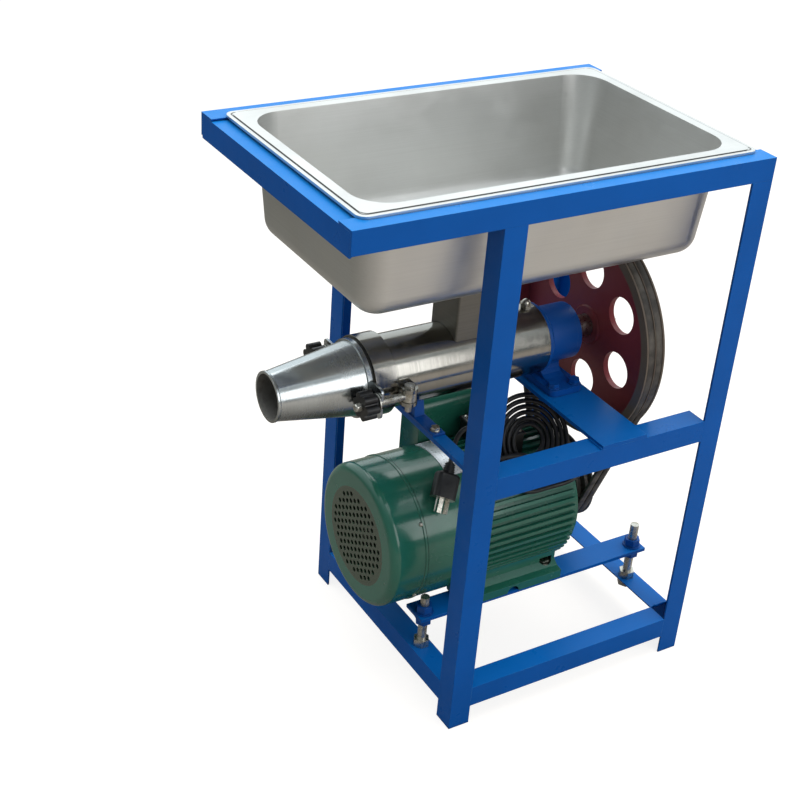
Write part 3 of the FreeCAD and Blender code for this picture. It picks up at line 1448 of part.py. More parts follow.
def all_nodes():
    """Every node of the machine by name, each a shape or a list of solids."""
    nodes = frame_nodes()
    nodes["hopper_pan"] = hopper_pan()
    nodes["hopper_neck"] = hopper_neck()
    nodes["barrel"] = barrel()
    nodes["barrel_set_bolt"] = barrel_set_bolt()
    nodes["barrel_flange"] = barrel_flange()
    nodes["pivot_pins"] = [pivot_pin(y) for y in (-bolt_spread, bolt_spread)]
    nodes["barrel_saddle"] = barrel_saddle()
    nodes["frame_bolts"] = bolts_down(saddle_bolt_places(), mid_rail_top + saddle_foot_thick,
                                      saddle_foot_thick + front_bar_thick, m6_radius)
    nodes["frame_bolts"] += bolts_down(housing_bolt_places(), rear_bar_top + housing_foot_thick,
                                       housing_foot_thick + rear_bar_thick, m8_radius)
    nodes["nozzle_cone"] = nozzle_cone()
    nodes["nozzle_gasket"] = nozzle_gasket()
    for name, y in (("near", -bolt_spread), ("far", bolt_spread)):
        nodes["swing_bolt_" + name] = swing_bolt(y)
        nodes["clamp_washer_" + name] = clamp_washer(y)
        nodes["star_knob_" + name] = star_knob(y)
    nodes["bearing_housing"] = bearing_housing()
    nodes["housing_cover"] = housing_cover()
    nodes["shaft_bearings"] = bearings()
    nodes["shaft_seal"] = shaft_seal()
    nodes["auger"] = auger()
    key = drive_key(axis_z, pulley_seat_radius, hub_front_x + drive_key_inset, hub_rear_x - drive_key_inset)
    nodes["main_shaft"] = [main_shaft().cut(key), key] + shaft_nut()
    nodes["big_pulley"] = big_pulley().cut(key)
    nodes["v_belts"] = [belt(middle) for middle in belt_places()]
    nodes["motor_frame"] = motor_frame()
    nodes["motor_stator"] = motor_stator()
    nodes["motor_shields"] = [front_shield(), rear_shield()]
    nodes["motor_bearings"] = motor_bearings()
    motor_key = drive_key(motor_z, motor_shaft_radius, pulley_x + drive_key_inset,
                          pulley_rear_x - drive_key_inset)
    nodes["motor_shaft"] = [motor_shaft().cut(motor_key), motor_key]
    nodes["motor_rotor"] = motor_rotor()
    nodes["motor_pulley"] = motor_pulley().cut(motor_key)
    nodes["cooling_fan"] = cooling_fan()
    nodes["fan_cover"] = fan_cover()
    nodes["capacitor_cover"] = capacitor_cover()
    nodes["nameplate"] = nameplate()
    nodes.update(terminal_box())
    nodes.update(mains_cable())
    nodes["mains_plug"] = mains_plug()
    nodes["motor_bars"] = motor_bars()
    nodes["motor_bolts"] = bolts_down(motor_bolt_places(), bar_top_z + motor_foot_thick,
                                      motor_foot_thick + bar_thick, m10_radius)
    nodes["tension_studs"] = tension_studs()
    nodes["adjusting_nuts"] = adjusting_nuts()
    return nodes


def main():
    """Write one STEP file for each node."""
    os.makedirs("parts", exist_ok=True)
    for name, shape in all_nodes().items():
        solids = shape if isinstance(shape, list) else shape.Solids
        for solid in solids:
            if not solid.isValid():
                print("not valid:", name)
        node = solids[0] if len(solids) == 1 else Part.makeCompound(solids)
        node.exportStep(os.path.join("parts", name + ".step"))
        print(name, len(solids), round(node.Volume / 1000, 1))


main()
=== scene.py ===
"""Dresses the rice popping machine: finishes, welds, threads, belts, the mains lead, studio and camera."""

import logging
import math
import random
from dataclasses import dataclass
from enum import Enum
from typing import Callable, Iterable, Sequence

import bpy
from mathutils import Matrix, Vector


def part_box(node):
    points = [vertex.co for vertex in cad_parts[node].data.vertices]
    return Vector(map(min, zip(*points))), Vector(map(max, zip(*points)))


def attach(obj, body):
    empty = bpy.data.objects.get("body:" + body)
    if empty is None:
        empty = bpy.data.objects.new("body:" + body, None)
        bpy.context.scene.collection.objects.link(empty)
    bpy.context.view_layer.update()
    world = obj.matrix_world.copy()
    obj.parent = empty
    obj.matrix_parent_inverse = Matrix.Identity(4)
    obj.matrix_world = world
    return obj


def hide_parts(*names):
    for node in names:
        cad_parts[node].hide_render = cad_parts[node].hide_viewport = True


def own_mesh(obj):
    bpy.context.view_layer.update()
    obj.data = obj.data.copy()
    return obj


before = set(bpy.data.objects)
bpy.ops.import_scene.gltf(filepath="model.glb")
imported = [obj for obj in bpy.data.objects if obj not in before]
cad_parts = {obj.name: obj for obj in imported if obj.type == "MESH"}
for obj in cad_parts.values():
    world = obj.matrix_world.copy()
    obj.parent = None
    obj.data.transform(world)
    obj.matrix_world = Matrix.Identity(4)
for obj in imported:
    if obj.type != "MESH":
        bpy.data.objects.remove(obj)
log = logging.getLogger("popping_machine")

Colour = tuple[float, float, float, float]
Face = Sequence[int]
Numbers = Sequence[float]
Path = Sequence[Vector]
Place = tuple[float, float, float]
Socket = bpy.types.NodeSocket
Material = bpy.types.Material
Piece = bpy.types.Object


class Body(Enum):
    """The moving bodies that pieces ride on."""

    ROOT = "root"
    CARRIAGE = "motor_carriage"
    NEAR_BOLT = "bolt_near"
    FAR_BOLT = "bolt_far"


class Side(Enum):
    """The near and the far side of the machine, with the sign of Y there."""

    NEAR = -1
    FAR = 1

    @property
    def word(self) -> str:
        """The side's name as the nodes spell it."""
        return self.name.lower()


def chip(red: int, green: int, blue: int) -> Colour:
    """Turn a colour as it is seen, from 0 to 255, into the linear values that shaders take."""
    shares = (value / 255 for value in (red, green, blue))
    return (*(s / 12.92 if s <= 0.04045 else ((s + 0.055) / 1.055) ** 2.4 for s in shares), 1.0)


class NodeTree:
    """The nodes of a material or of the world."""

    def __init__(self, tree: bpy.types.NodeTree) -> None:
        """Take up Blender's own tree."""
        self.tree = tree

    def node(self, kind: str, inputs: dict | None = None, output: int | str = 0,
             **settings: object) -> Socket:
        """Add a shader node.

        Args:
            kind: Blender's name for the node, after its common first words.
            inputs: Values or sockets for its inputs, by name or number.
            output: Which of its outputs is wanted.
            **settings: The node's own settings.

        Returns:
            The wanted output.
        """
        made = self.tree.nodes.new("ShaderNode" + kind)
        for key, value in settings.items():
            setattr(made, key, value)
        for key, value in (inputs or {}).items():
            self.feed(made.inputs[key], value)
        return made.outputs[output]

    def feed(self, socket: Socket, value: object) -> None:
        """Link a socket into an input, or set a plain value on it.

        Args:
            socket: The input.
            value: Another node's output, or a number, vector or colour.
        """
        if isinstance(value, Socket):
            self.tree.links.new(value, socket)
        else:
            socket.default_value = value

    def remap(self, value: Socket, low: float, high: float,
              to_low: float = 0.0, to_high: float = 1.0) -> Socket:
        """Stretch the range from low to high onto another, clamped."""
        inputs = {"Value": value, "From Min": low, "From Max": high, "To Min": to_low, "To Max": to_high}
        return self.node("MapRange", inputs)

    def blend(self, amount: object, first: object, second: object) -> Socket:
        """Mix two colours by the second one's share."""
        return self.node("Mix", {0: amount, 6: first, 7: second}, 2, data_type="RGBA")

    def sum(self, first: object, second: object, operation: str = "ADD") -> Socket:
        """Join two numbers or sockets by an operation of arithmetic."""
        return self.node("Math", {0: first, 1: second}, operation=operation)

    def along(self, place: Socket, way: object) -> Socket:
        """How far a place or normal lies along a way."""
        return self.node("VectorMath", {0: place, 1: way}, "Value", operation="DOT_PRODUCT")


class Board(NodeTree):
    """A material's nodes, with one short method for each kind of node that the finishes use."""

    def __init__(self, name: str) -> None:
        """Start a material that has only its shader.

        Args:
            name: The material's name.
        """
        self.material = bpy.data.materials.new(name)
        self.material.use_nodes = True
        super().__init__(self.material.node_tree)
        self.shader = self.tree.nodes["Principled BSDF"]
        self.place = self.node("TexCoord", output="Object")

    def set(self, **values: object) -> None:
        """Set the shader's inputs to values or sockets, named with underscores for spaces."""
        for key, value in values.items():
            self.feed(self.shader.inputs[key.replace("_", " ")], value)

    def stretched(self, stretch: Numbers, shift: float = 0.0) -> Socket:
        """The place on the object, scaled by axis, and shifted to set one pattern apart from another."""
        return self.node("Mapping", {"Vector": self.place, "Scale": stretch, "Location": (shift,) * 3})

    def noise(self, scale: float, detail: float = 3.0, stretch: Numbers = (1, 1, 1),
              shift: float = 0.0) -> Socket:
        """Soft clouds around one half, so many to the metre, with finer layers as detail."""
        inputs = {"Vector": self.stretched(stretch, shift), "Scale": scale, "Detail": detail}
        return self.node("TexNoise", inputs, "Fac")

    def tint(self, tone: object, other: object, mask: Socket, low: float, high: float,
             share: float = 1.0) -> Socket:
        """Mix another colour in where a mask rises from low to high, up to a share."""
        return self.blend(self.remap(mask, low, high, 0.0, share), tone, other)

    def gloss(self, mask: Socket, middle: float, below: float, above: float) -> Socket:
        """A roughness that a mask moves below and above its middle."""
        return self.remap(mask, 0.3, 0.7, middle - below, middle + above)

    def axis(self, name: str) -> Socket:
        """The place along X, Y or Z, in metres."""
        return self.node("SeparateXYZ", {0: self.place}, name)

    def facing(self, name: str) -> Socket:
        """How far the surface faces along X, Y or Z, from minus one to one."""
        return self.node("SeparateXYZ", {0: self.node("NewGeometry", output="True Normal")}, name)

    def crevice(self, reach: float) -> Socket:
        """One in a tight corner whose other side is within reach, and nought in the open."""
        return self.remap(self.node("AmbientOcclusion", {"Distance": reach}, "AO", samples=6), 0.75, 0.25)

    def from_edge(self, middle: Numbers, reach: Numbers, corner: float) -> Socket:
        """How far inside the edge of a round-cornered rectangle a point lies, as seen from above.

        Args:
            middle: The rectangle's middle along X and Y.
            reach: Half its size along X and Y.
            corner: The radius of its corners, which is also the furthest distance told.

        Returns:
            The distance from the edge.
        """
        past = []
        for name, centre, half in zip("XY", middle, reach):
            away = self.sum(self.sum(self.axis(name), centre, "SUBTRACT"), 0.0, "ABSOLUTE")
            past.append(self.sum(self.sum(away, half - corner, "SUBTRACT"), 0.0, "MAXIMUM"))
        return self.sum(corner, self.diagonal(past[0], past[1]), "SUBTRACT")

    def from_line(self, height: float) -> Socket:
        """The distance from a line along X at a height over the middle of the machine."""
        return self.diagonal(self.sum(self.axis("Z"), height, "SUBTRACT"), self.axis("Y"))

    def diagonal(self, first: Socket, second: Socket) -> Socket:
        """The length across two distances at right angles."""
        squares = self.sum(self.sum(first, first, "MULTIPLY"), self.sum(second, second, "MULTIPLY"))
        return self.sum(squares, 0.5, "POWER")

    def soft_edges(self, radius: float) -> Socket:
        """A normal that rounds sharp edges off to a radius."""
        return self.node("Bevel", {"Radius": radius}, samples=4)

    def edge_mask(self, rounded: Socket) -> Socket:
        """One where the rounded normal leaves the flat one, on an edge, and nought away from it."""
        flat = self.node("NewGeometry", output="True Normal")
        return self.remap(self.along(rounded, flat), 0.99, 0.80)

    def bump(self, height: Socket, depth: float, normal: Socket | None = None) -> Socket:
        """Relief from a height.

        Args:
            height: The height, from nought to one.
            depth: The relief's depth in metres.
            normal: The normal that it stands on.

        Returns:
            The new normal.
        """
        inputs = {"Height": height, "Strength": 1.0, "Distance": depth}
        if normal is not None:
            inputs["Normal"] = normal
        return self.node("Bump", inputs)


@dataclass(frozen=True)
class SprayedPaint:
    """Paint sprayed over steel or cast iron, chipped and rubbed along the edges."""

    name: str
    colour: Colour
    rubbed: Colour
    roughness: float = 0.34
    grain: float = 260.0
    grain_depth: float = 0.00006
    edge: float = 0.0009
    wear: float = 0.5
    sheen: float = 0.30
    # Painted light: a lighter colour for upward faces, strongest high up.
    painted_top_light: Colour | None = None
    lacquer: float = 0.0
    # Painted shade: the dark colour laid into crevices.
    painted_shade: Colour = (0.012, 0.012, 0.014, 1.0)

    def material(self) -> Material:
        """Build the material.

        Returns:
            The material.
        """
        board = Board(self.name)
        self.coat(board, self.colour)
        return board.material

    def coat(self, board: Board, colour: object) -> None:
        """Lay the paint on a board.

        Args:
            board: The material's board.
            colour: The paint's colour or a socket that gives it.
        """
        rounded = board.soft_edges(self.edge)
        clouds = board.noise(9.0, 4.0)
        dark = board.node("HueSaturation", {"Color": colour, "Value": 0.88})
        tone = board.tint(dark, colour, clouds, 0.35, 0.65)
        # Painted light: upward faces shift towards a lighter colour, more so the higher they stand.
        if self.painted_top_light:
            upward = board.remap(board.facing("Z"), 0.5, 0.95, 0.0, 0.8)
            high = board.remap(board.axis("Z"), 0.55, 0.70, 0.4, 1.0)
            tone = board.blend(board.sum(upward, high, "MULTIPLY"), tone, self.painted_top_light)
        # Painted shade: darker where ambient occlusion finds a tight corner.
        tone = board.blend(board.sum(board.crevice(0.006), 0.6, "MULTIPLY"), tone, self.painted_shade)
        patch = board.remap(board.noise(70.0, 4.0, shift=7.0), 0.52, 0.60)
        rub = board.sum(board.edge_mask(rounded), patch, "MULTIPLY")
        tone = board.blend(board.sum(rub, self.wear, "MULTIPLY"), tone, self.rubbed)
        gloss = board.gloss(board.noise(30.0, 5.0, shift=1.0), self.roughness, 0.08, 0.10)
        peel = board.noise(self.grain, 3.0)
        board.set(Base_Color=tone, Roughness=gloss, Normal=board.bump(peel, self.grain_depth, rounded))
        board.set(Specular_IOR_Level=self.sheen, Coat_Weight=self.lacquer, Coat_Roughness=0.10)


@dataclass(frozen=True)
class RimmedPaint(SprayedPaint):
    """Paint that ends at a radius round an axis, where a bare or dusty zone begins."""

    height: float = 0.0
    start: float = 0.0
    end: float = 0.0
    zone: Colour = (0.1, 0.1, 0.1, 1.0)

    def material(self) -> Material:
        """Build the material.

        Returns:
            The material.
        """
        board = Board(self.name)
        inside = board.remap(board.from_line(self.height), self.start, self.end)
        self.coat(board, board.blend(inside, self.colour, self.zone))
        return board.material


@dataclass(frozen=True)
class DrawnSheet:
    """Stainless sheet with a fine brushed grain, handled and a little dull."""

    name: str
    colour: Colour
    dull: Colour
    roughness: float = 0.30
    # Painted shade: the dark colour for tight corners and for the line along the rim's step.
    painted_shade: Colour = (0.05, 0.048, 0.045, 1.0)
    rimmed: str | None = None
    rim_corner: float = 0.012
    fold: float = 0.0056

    def material(self) -> Material:
        """Build the material.

        Returns:
            The material.
        """
        board = Board(self.name)
        rounded = board.soft_edges(0.0008)
        streaks = board.noise(1.0, 3.0, (6.0, 260.0, 700.0))
        cross = board.noise(1.0, 3.0, (260.0, 6.0, 700.0), 5.0)
        facing = board.facing("X")
        side = board.remap(board.sum(facing, facing, "MULTIPLY"), 0.4, 0.6)
        grain = board.node("Mix", {0: side, 2: streaks, 3: cross}, data_type="FLOAT")
        clouds = board.noise(7.0, 3.0, shift=2.0)
        tone = board.tint(self.colour, self.dull, clouds, 0.40, 0.75, 0.45)
        tone = board.tint(tone, self.dull, grain, 0.3, 0.7, 0.12)
        # Painted shade: darker in tight corners found by ambient occlusion.
        tone = board.blend(board.sum(board.crevice(0.003), 0.75, "MULTIPLY"), tone, self.painted_shade)
        # Painted shade: a thin dark line along the step of the rim, a fold's width in from the pan's edge.
        if self.rimmed:
            low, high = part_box(self.rimmed)
            inward = board.from_edge((low + high) / 2, (high - low) / 2, self.rim_corner)
            off_line = board.sum(board.sum(inward, self.fold, "SUBTRACT"), 0.0, "ABSOLUTE")
            tone = board.tint(tone, self.painted_shade, off_line, 0.0013, 0.0007, 0.85)
        smears = board.remap(board.noise(26.0, 5.0, shift=9.0), 0.4, 0.7, 0.0, 0.10)
        rough = board.sum(board.gloss(grain, self.roughness, 0.05, 0.06), smears)
        board.set(Base_Color=tone, Metallic=1.0, Roughness=rough, Normal=board.bump(grain, 0.000012, rounded))
        return board.material


@dataclass(frozen=True)
class TurnedSteel:
    """Steel polished on a lathe: fine rings round an axis, and painted reflection bands along it, brighter
    above and darker on the underside.
    """

    name: str
    colour: Colour
    dark: Colour
    height: float
    roughness: float = 0.14
    # Painted reflection: how much darker the underside is drawn.
    painted_dark_below: float = 0.0
    ring_depth: float = 0.0000016

    def material(self) -> Material:
        """Build the material.

        Returns:
            The material.
        """
        board = Board(self.name)
        rounded = board.soft_edges(0.0006)
        rings = board.noise(1.0, 4.0, (1400.0, 8.0, 8.0))
        clouds = board.noise(20.0, 4.0, shift=4.0)
        tone = board.tint(self.colour, self.dark, clouds, 0.4, 0.75, 0.35)
        tone = board.tint(tone, self.dark, rings, 0.35, 0.65, 0.10)
        # Painted reflection: darker below the axis, by the angle round it.
        if self.painted_dark_below:
            up = board.sum(board.axis("Z"), self.height, "SUBTRACT")
            turn = board.sum(up, board.from_line(self.height), "DIVIDE")
            tone = board.tint(tone, self.dark, turn, -0.1, -0.75, self.painted_dark_below)
        smears = board.remap(board.noise(34.0, 5.0, shift=6.0), 0.45, 0.75, 0.0, 0.12)
        rough = board.sum(board.gloss(rings, self.roughness, 0.03, 0.05), smears)
        board.set(Base_Color=tone, Metallic=1.0, Roughness=rough)
        board.set(Normal=board.bump(rings, self.ring_depth, rounded))
        return board.material


@dataclass(frozen=True)
class BareMetal:
    """Plated or machined metal with stains and small scratches."""

    name: str
    colour: Colour
    stain: Colour
    roughness: float = 0.32
    stained: float = 0.6
    metallic: float = 1.0

    def material(self) -> Material:
        """Build the material.

        Returns:
            The material.
        """
        board = Board(self.name)
        rounded = board.soft_edges(0.0004)
        scratches = board.noise(1.0, 2.0, (300.0, 900.0, 900.0))
        tone = board.tint(self.colour, self.stain, board.noise(120.0, 5.0), 0.45, 0.70, self.stained)
        rough = board.gloss(board.noise(300.0, 4.0, shift=2.0), self.roughness, 0.08, 0.14)
        board.set(Base_Color=tone, Roughness=rough, Normal=board.bump(scratches, 0.00001, rounded))
        board.set(Metallic=self.metallic)
        return board.material


@dataclass(frozen=True)
class Moulding:
    """Moulded plastic or rubber with a fine texture and pale dust."""

    name: str
    colour: Colour
    dust: Colour
    roughness: float = 0.45
    grain: float = 1500.0
    grain_depth: float = 0.00003
    dusty: float = 0.25

    def material(self) -> Material:
        """Build the material.

        Returns:
            The material.
        """
        board = Board(self.name)
        rounded = board.soft_edges(0.0005)
        tone = board.tint(self.colour, self.dust, board.noise(45.0, 5.0), 0.45, 0.75, self.dusty)
        rough = board.gloss(board.noise(90.0, 4.0, shift=2.0), self.roughness, 0.07, 0.12)
        texture = board.noise(self.grain, 2.0)
        board.set(Base_Color=tone, Roughness=rough, Normal=board.bump(texture, self.grain_depth, rounded))
        return board.material


@dataclass(frozen=True)
class BeltCloth:
    """Rubberised cloth round a belt: a fine diagonal weave, polished where it rubs."""

    name: str
    colour: Colour
    worn: Colour

    def material(self) -> Material:
        """Build the material.

        Returns:
            The material.
        """
        board = Board(self.name)
        first = self.threads(board, (1.0, 1.0, 1.0))
        second = self.threads(board, (1.0, -1.0, -1.0))
        weave = board.sum(first, second, "MULTIPLY")
        worn = board.remap(board.noise(60.0, 4.0), 0.42, 0.66)
        tone = board.blend(board.sum(worn, 0.6, "MULTIPLY"), self.colour, self.worn)
        tone = board.tint(tone, self.worn, weave, 0.2, 0.8, 0.35)
        board.set(Base_Color=tone, Roughness=0.62, Normal=board.bump(weave, 0.00006))
        return board.material

    def threads(self, board: Board, stretch: Numbers) -> Socket:
        """The height of one set of threads, slanting by the sign of each axis."""
        inputs = {"Vector": board.stretched(stretch), "Scale": 260.0, "Distortion": 0.6}
        return board.node("TexWave", inputs, "Fac", bands_direction="DIAGONAL")


# The blue paint's last colour is painted light on the stand's upward faces.
BLUE_PAINT = SprayedPaint("blue_paint", chip(0, 94, 184), chip(84, 160, 220), sheen=0.14,
                          painted_top_light=chip(20, 132, 214))
BLUE_CASTING = SprayedPaint("blue_casting", chip(4, 84, 170), chip(50, 105, 170), 0.40, 130.0, 0.0002)
MAROON_IRON = RimmedPaint("maroon_iron", chip(146, 60, 64), chip(146, 92, 86), 0.36, 150.0, 0.00014,
                          height=0.442, start=0.1325, end=0.1335, zone=chip(114, 102, 90))
GREEN_IRON = SprayedPaint("green_iron", chip(38, 110, 90), chip(96, 150, 128), 0.22, 150.0, 0.00006,
                          sheen=0.5, lacquer=0.45)
GREEN_STEEL = RimmedPaint("green_steel", chip(38, 112, 92), chip(104, 156, 132), 0.20, 240.0, 0.00004,
                          sheen=0.5, lacquer=0.45, height=0.202, start=0.0675, end=0.0655,
                          zone=chip(52, 72, 50))
STAINLESS_SHEET = DrawnSheet("stainless_sheet", chip(218, 218, 216), chip(194, 192, 188), 0.36,
                             rimmed="hopper_pan")
NECK_SHEET = DrawnSheet("neck_sheet", chip(132, 129, 121), chip(90, 86, 78), 0.40)
# The last number of each turned steel is painted reflection, darkening its underside.
POLISHED_STEEL = TurnedSteel("polished_steel", chip(198, 204, 206), chip(124, 120, 113), 0.442, 0.19, 0.6)
SHADED_STEEL = TurnedSteel("shaded_steel", chip(168, 166, 160), chip(98, 94, 86), 0.442, painted_dark_below=0.5)
NOZZLE_INSIDE = BareMetal("nozzle_inside", chip(136, 134, 130), chip(96, 90, 82), 0.5, 0.5, 0.3)
MACHINED_STEEL = BareMetal("machined_steel", chip(184, 182, 178), chip(120, 112, 102), 0.30)
PLATED_STEEL = BareMetal("plated_steel", chip(204, 202, 194), chip(140, 128, 104), 0.28)
GREY_IRON = BareMetal("grey_iron", chip(112, 110, 106), chip(74, 64, 54), 0.45, 0.8)
BARE_PLATE = BareMetal("bare_plate", chip(236, 240, 244), chip(200, 204, 208), 0.30, 0.3, 0.5)
BLACK_PLASTIC = Moulding("black_plastic", chip(20, 20, 21), chip(66, 64, 60), 0.36)
BLACK_RUBBER = Moulding("black_rubber", chip(26, 26, 28), chip(78, 74, 68), 0.50)
CABLE_SHEATH = Moulding("cable_sheath", chip(18, 18, 20), chip(58, 58, 60), 0.38, dusty=0.35)
FAN_PLASTIC = Moulding("fan_plastic", chip(44, 46, 46), chip(96, 94, 86), 0.50)
BELT_CLOTH = BeltCloth("belt_cloth", chip(56, 52, 48), chip(112, 105, 96))


def placed(name: str, data: bpy.types.ID) -> Piece:
    """Put a new object into the scene.

    Args:
        name: The object's name.
        data: Its mesh, curve, lamp or camera.

    Returns:
        The object.
    """
    made = bpy.data.objects.new(name, data)
    bpy.context.scene.collection.objects.link(made)
    return made


def dress(nodes: Iterable[str], material: Material) -> None:
    """Give nodes of the frame a finish.

    Args:
        nodes: The nodes' names.
        material: The finish.
    """
    for name in nodes:
        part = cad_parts[name]
        part.data.materials.clear()
        part.data.materials.append(material)


def redress(node: str, material: Material, chosen: Callable[[Vector, Vector], bool]) -> None:
    """Give some faces of a node another finish.

    Args:
        node: The node's name.
        material: The other finish.
        chosen: Whether a face takes it, by the face's middle and normal.
    """
    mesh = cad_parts[node].data
    mesh.materials.append(material)
    for face in mesh.polygons:
        if chosen(face.center, face.normal):
            face.material_index = len(mesh.materials) - 1


class Sweep:
    """Corners and faces of rings swept along a path, with closed ends."""

    def __init__(self) -> None:
        """Start with nothing swept."""
        self.points: list[Vector] = []
        self.faces: list[Face] = []

    def rings(self, rings: Sequence[Path], closed: bool = False) -> None:
        """Join rings of equal count into a skin.

        Args:
            rings: The rings in order.
            closed: Whether the last ring meets the first again.
        """
        start = len(self.points)
        count = len(rings[0])
        for ring in rings:
            self.points += ring
        total = len(rings)
        for i in range(total if closed else total - 1):
            here = start + i * count
            after = start + (i + 1) % total * count
            for j in range(count):
                k = (j + 1) % count
                self.faces.append((here + j, here + k, after + k, after + j))
        if not closed:
            self.faces.append(tuple(range(start, start + count))[::-1])
            self.faces.append(tuple(range(start + (total - 1) * count, start + total * count)))

    def tube(self, path: Path, radius: Callable[[float], float], sides: int = 16) -> None:
        """Sweep a round section along a path.

        Args:
            path: The points that it follows.
            radius: The radius by the distance along the path.
            sides: How many sides the section has.
        """
        along = 0.0
        forward = (path[1] - path[0]).normalized()
        across = forward.orthogonal().normalized()
        rings = []
        for i, point in enumerate(path):
            before, after = path[max(i - 1, 0)], path[min(i + 1, len(path) - 1)]
            turned = (after - before).normalized()
            across = (across - turned * across.dot(turned)).normalized()
            other = turned.cross(across)
            along += (point - before).length
            reach = radius(along)
            turns = (2 * math.pi * j / sides for j in range(sides))
            rings.append([point + (across * math.cos(t) + other * math.sin(t)) * reach for t in turns])
        self.rings(rings)

    def lathe(self, start: Vector, direction: Vector, outline: Sequence[tuple[float, float]],
              sides: int = 32) -> None:
        """Turn an outline about an axis.

        Args:
            start: A point on the axis.
            direction: The axis' direction.
            outline: The distance along the axis and the radius of each corner.
            sides: How many sides it has round.
        """
        across = direction.orthogonal().normalized()
        other = direction.cross(across)
        turns = [2 * math.pi * j / sides for j in range(sides)]
        self.rings([[start + direction * along + (across * math.cos(t) + other * math.sin(t)) * radius
                     for t in turns] for along, radius in outline])

    def thread(self, start: Vector, direction: Vector, length: float, radius: float, pitch: float,
               height: float, steps: int = 16) -> None:
        """Wind the ridge of a screw thread round a bar.

        Args:
            start: Where the thread begins, on the bar's axis.
            direction: The bar's direction.
            length: How long the threaded stretch is.
            radius: The bar's radius.
            pitch: The rise of one turn.
            height: How far the ridge stands out.
            steps: How many rings one turn has.
        """
        across = direction.orthogonal().normalized()
        other = direction.cross(across)
        count = int(length / pitch * steps)
        rings = []
        for i in range(count + 1):
            turn = 2 * math.pi * i / steps
            out = across * math.cos(turn) + other * math.sin(turn)
            foot = start + direction * (pitch * i / steps)
            fade = min(1.0, i / steps, (count - i) / steps)
            root, half = out * (radius - height * 0.2), direction * pitch * 0.36
            rings.append([foot + root - half, foot + out * (radius + height * fade), foot + root + half])
        self.rings(rings)

    def weld(self, start: Vector, end: Vector, radius: float, seed: int) -> None:
        """Lay a rippled weld bead between two points.

        Args:
            start: One end of the seam.
            end: The other end.
            radius: The bead's radius.
            seed: Sets this bead's unevenness apart from the others.
        """
        chance = random.Random(seed)
        length = (end - start).length
        ripple = 0.0022
        steps = max(6, int(length / 0.0006))
        path = [start.lerp(end, i / steps) for i in range(steps + 1)]
        swing = [chance.uniform(-0.12, 0.12) for _ in range(int(length / ripple) + 2)]

        def reach(along: float) -> float:
            """The bead's radius, with scalloped ripples and tapered ends.

            Args:
                along: The distance from the seam's start.

            Returns:
                The radius.
            """
            phase = along / ripple
            scallop = 0.82 + 0.22 * abs(math.sin(math.pi * phase)) + swing[int(phase)]
            edge = min(along, length - along) / (radius * 1.2)
            return radius * scallop * math.sqrt(max(0.05, min(1.0, edge)))

        self.tube(path, reach, 10)

    def piece(self, name: str, material: Material, body: Body, slot: str) -> Piece:
        """Make one smooth-shaded piece of all that was swept.

        Args:
            name: The piece's name.
            material: Its finish.
            body: The body that it rides on.
            slot: The record's material slot; not used.

        Returns:
            The new object.
        """
        mesh = bpy.data.meshes.new(name)
        mesh.from_pydata([tuple(p) for p in self.points], [], self.faces)
        mesh.update()
        mesh.materials.append(material)
        for face in mesh.polygons:
            face.use_smooth = True
        piece = placed(name, mesh)
        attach(piece, body.value)
        return piece


@dataclass
class Viewpoint:
    """The photograph's camera, found from the machine's own straight edges."""

    azimuth: float = -32.67
    elevation: float = 30.41
    roll: float = 4.49
    distance: float = 1.8777
    target: Place = (-0.05607, 0.05812, 0.35335)
    lens: float = 65.19
    sensor: float = 36.0

    def build(self) -> None:
        """Make the camera and give it to the scene."""
        turn, lift, tilt = (math.radians(angle) for angle in (self.azimuth, self.elevation, self.roll))
        back = Vector((math.sin(turn) * math.cos(lift), -math.cos(turn) * math.cos(lift), math.sin(lift)))
        right = (-back).cross(Vector((0, 0, 1))).normalized()
        down = (-back).cross(right)
        across = right * math.cos(tilt) - down * math.sin(tilt)
        up = -(right * math.sin(tilt) + down * math.cos(tilt))
        data = bpy.data.cameras.new("photograph")
        data.lens = self.lens
        data.sensor_width = self.sensor
        camera = placed("photograph", data)
        place = Vector(self.target) + back * self.distance
        camera.matrix_world = Matrix.Translation(place) @ Matrix((across, up, back)).transposed().to_4x4()
        bpy.context.scene.camera = camera


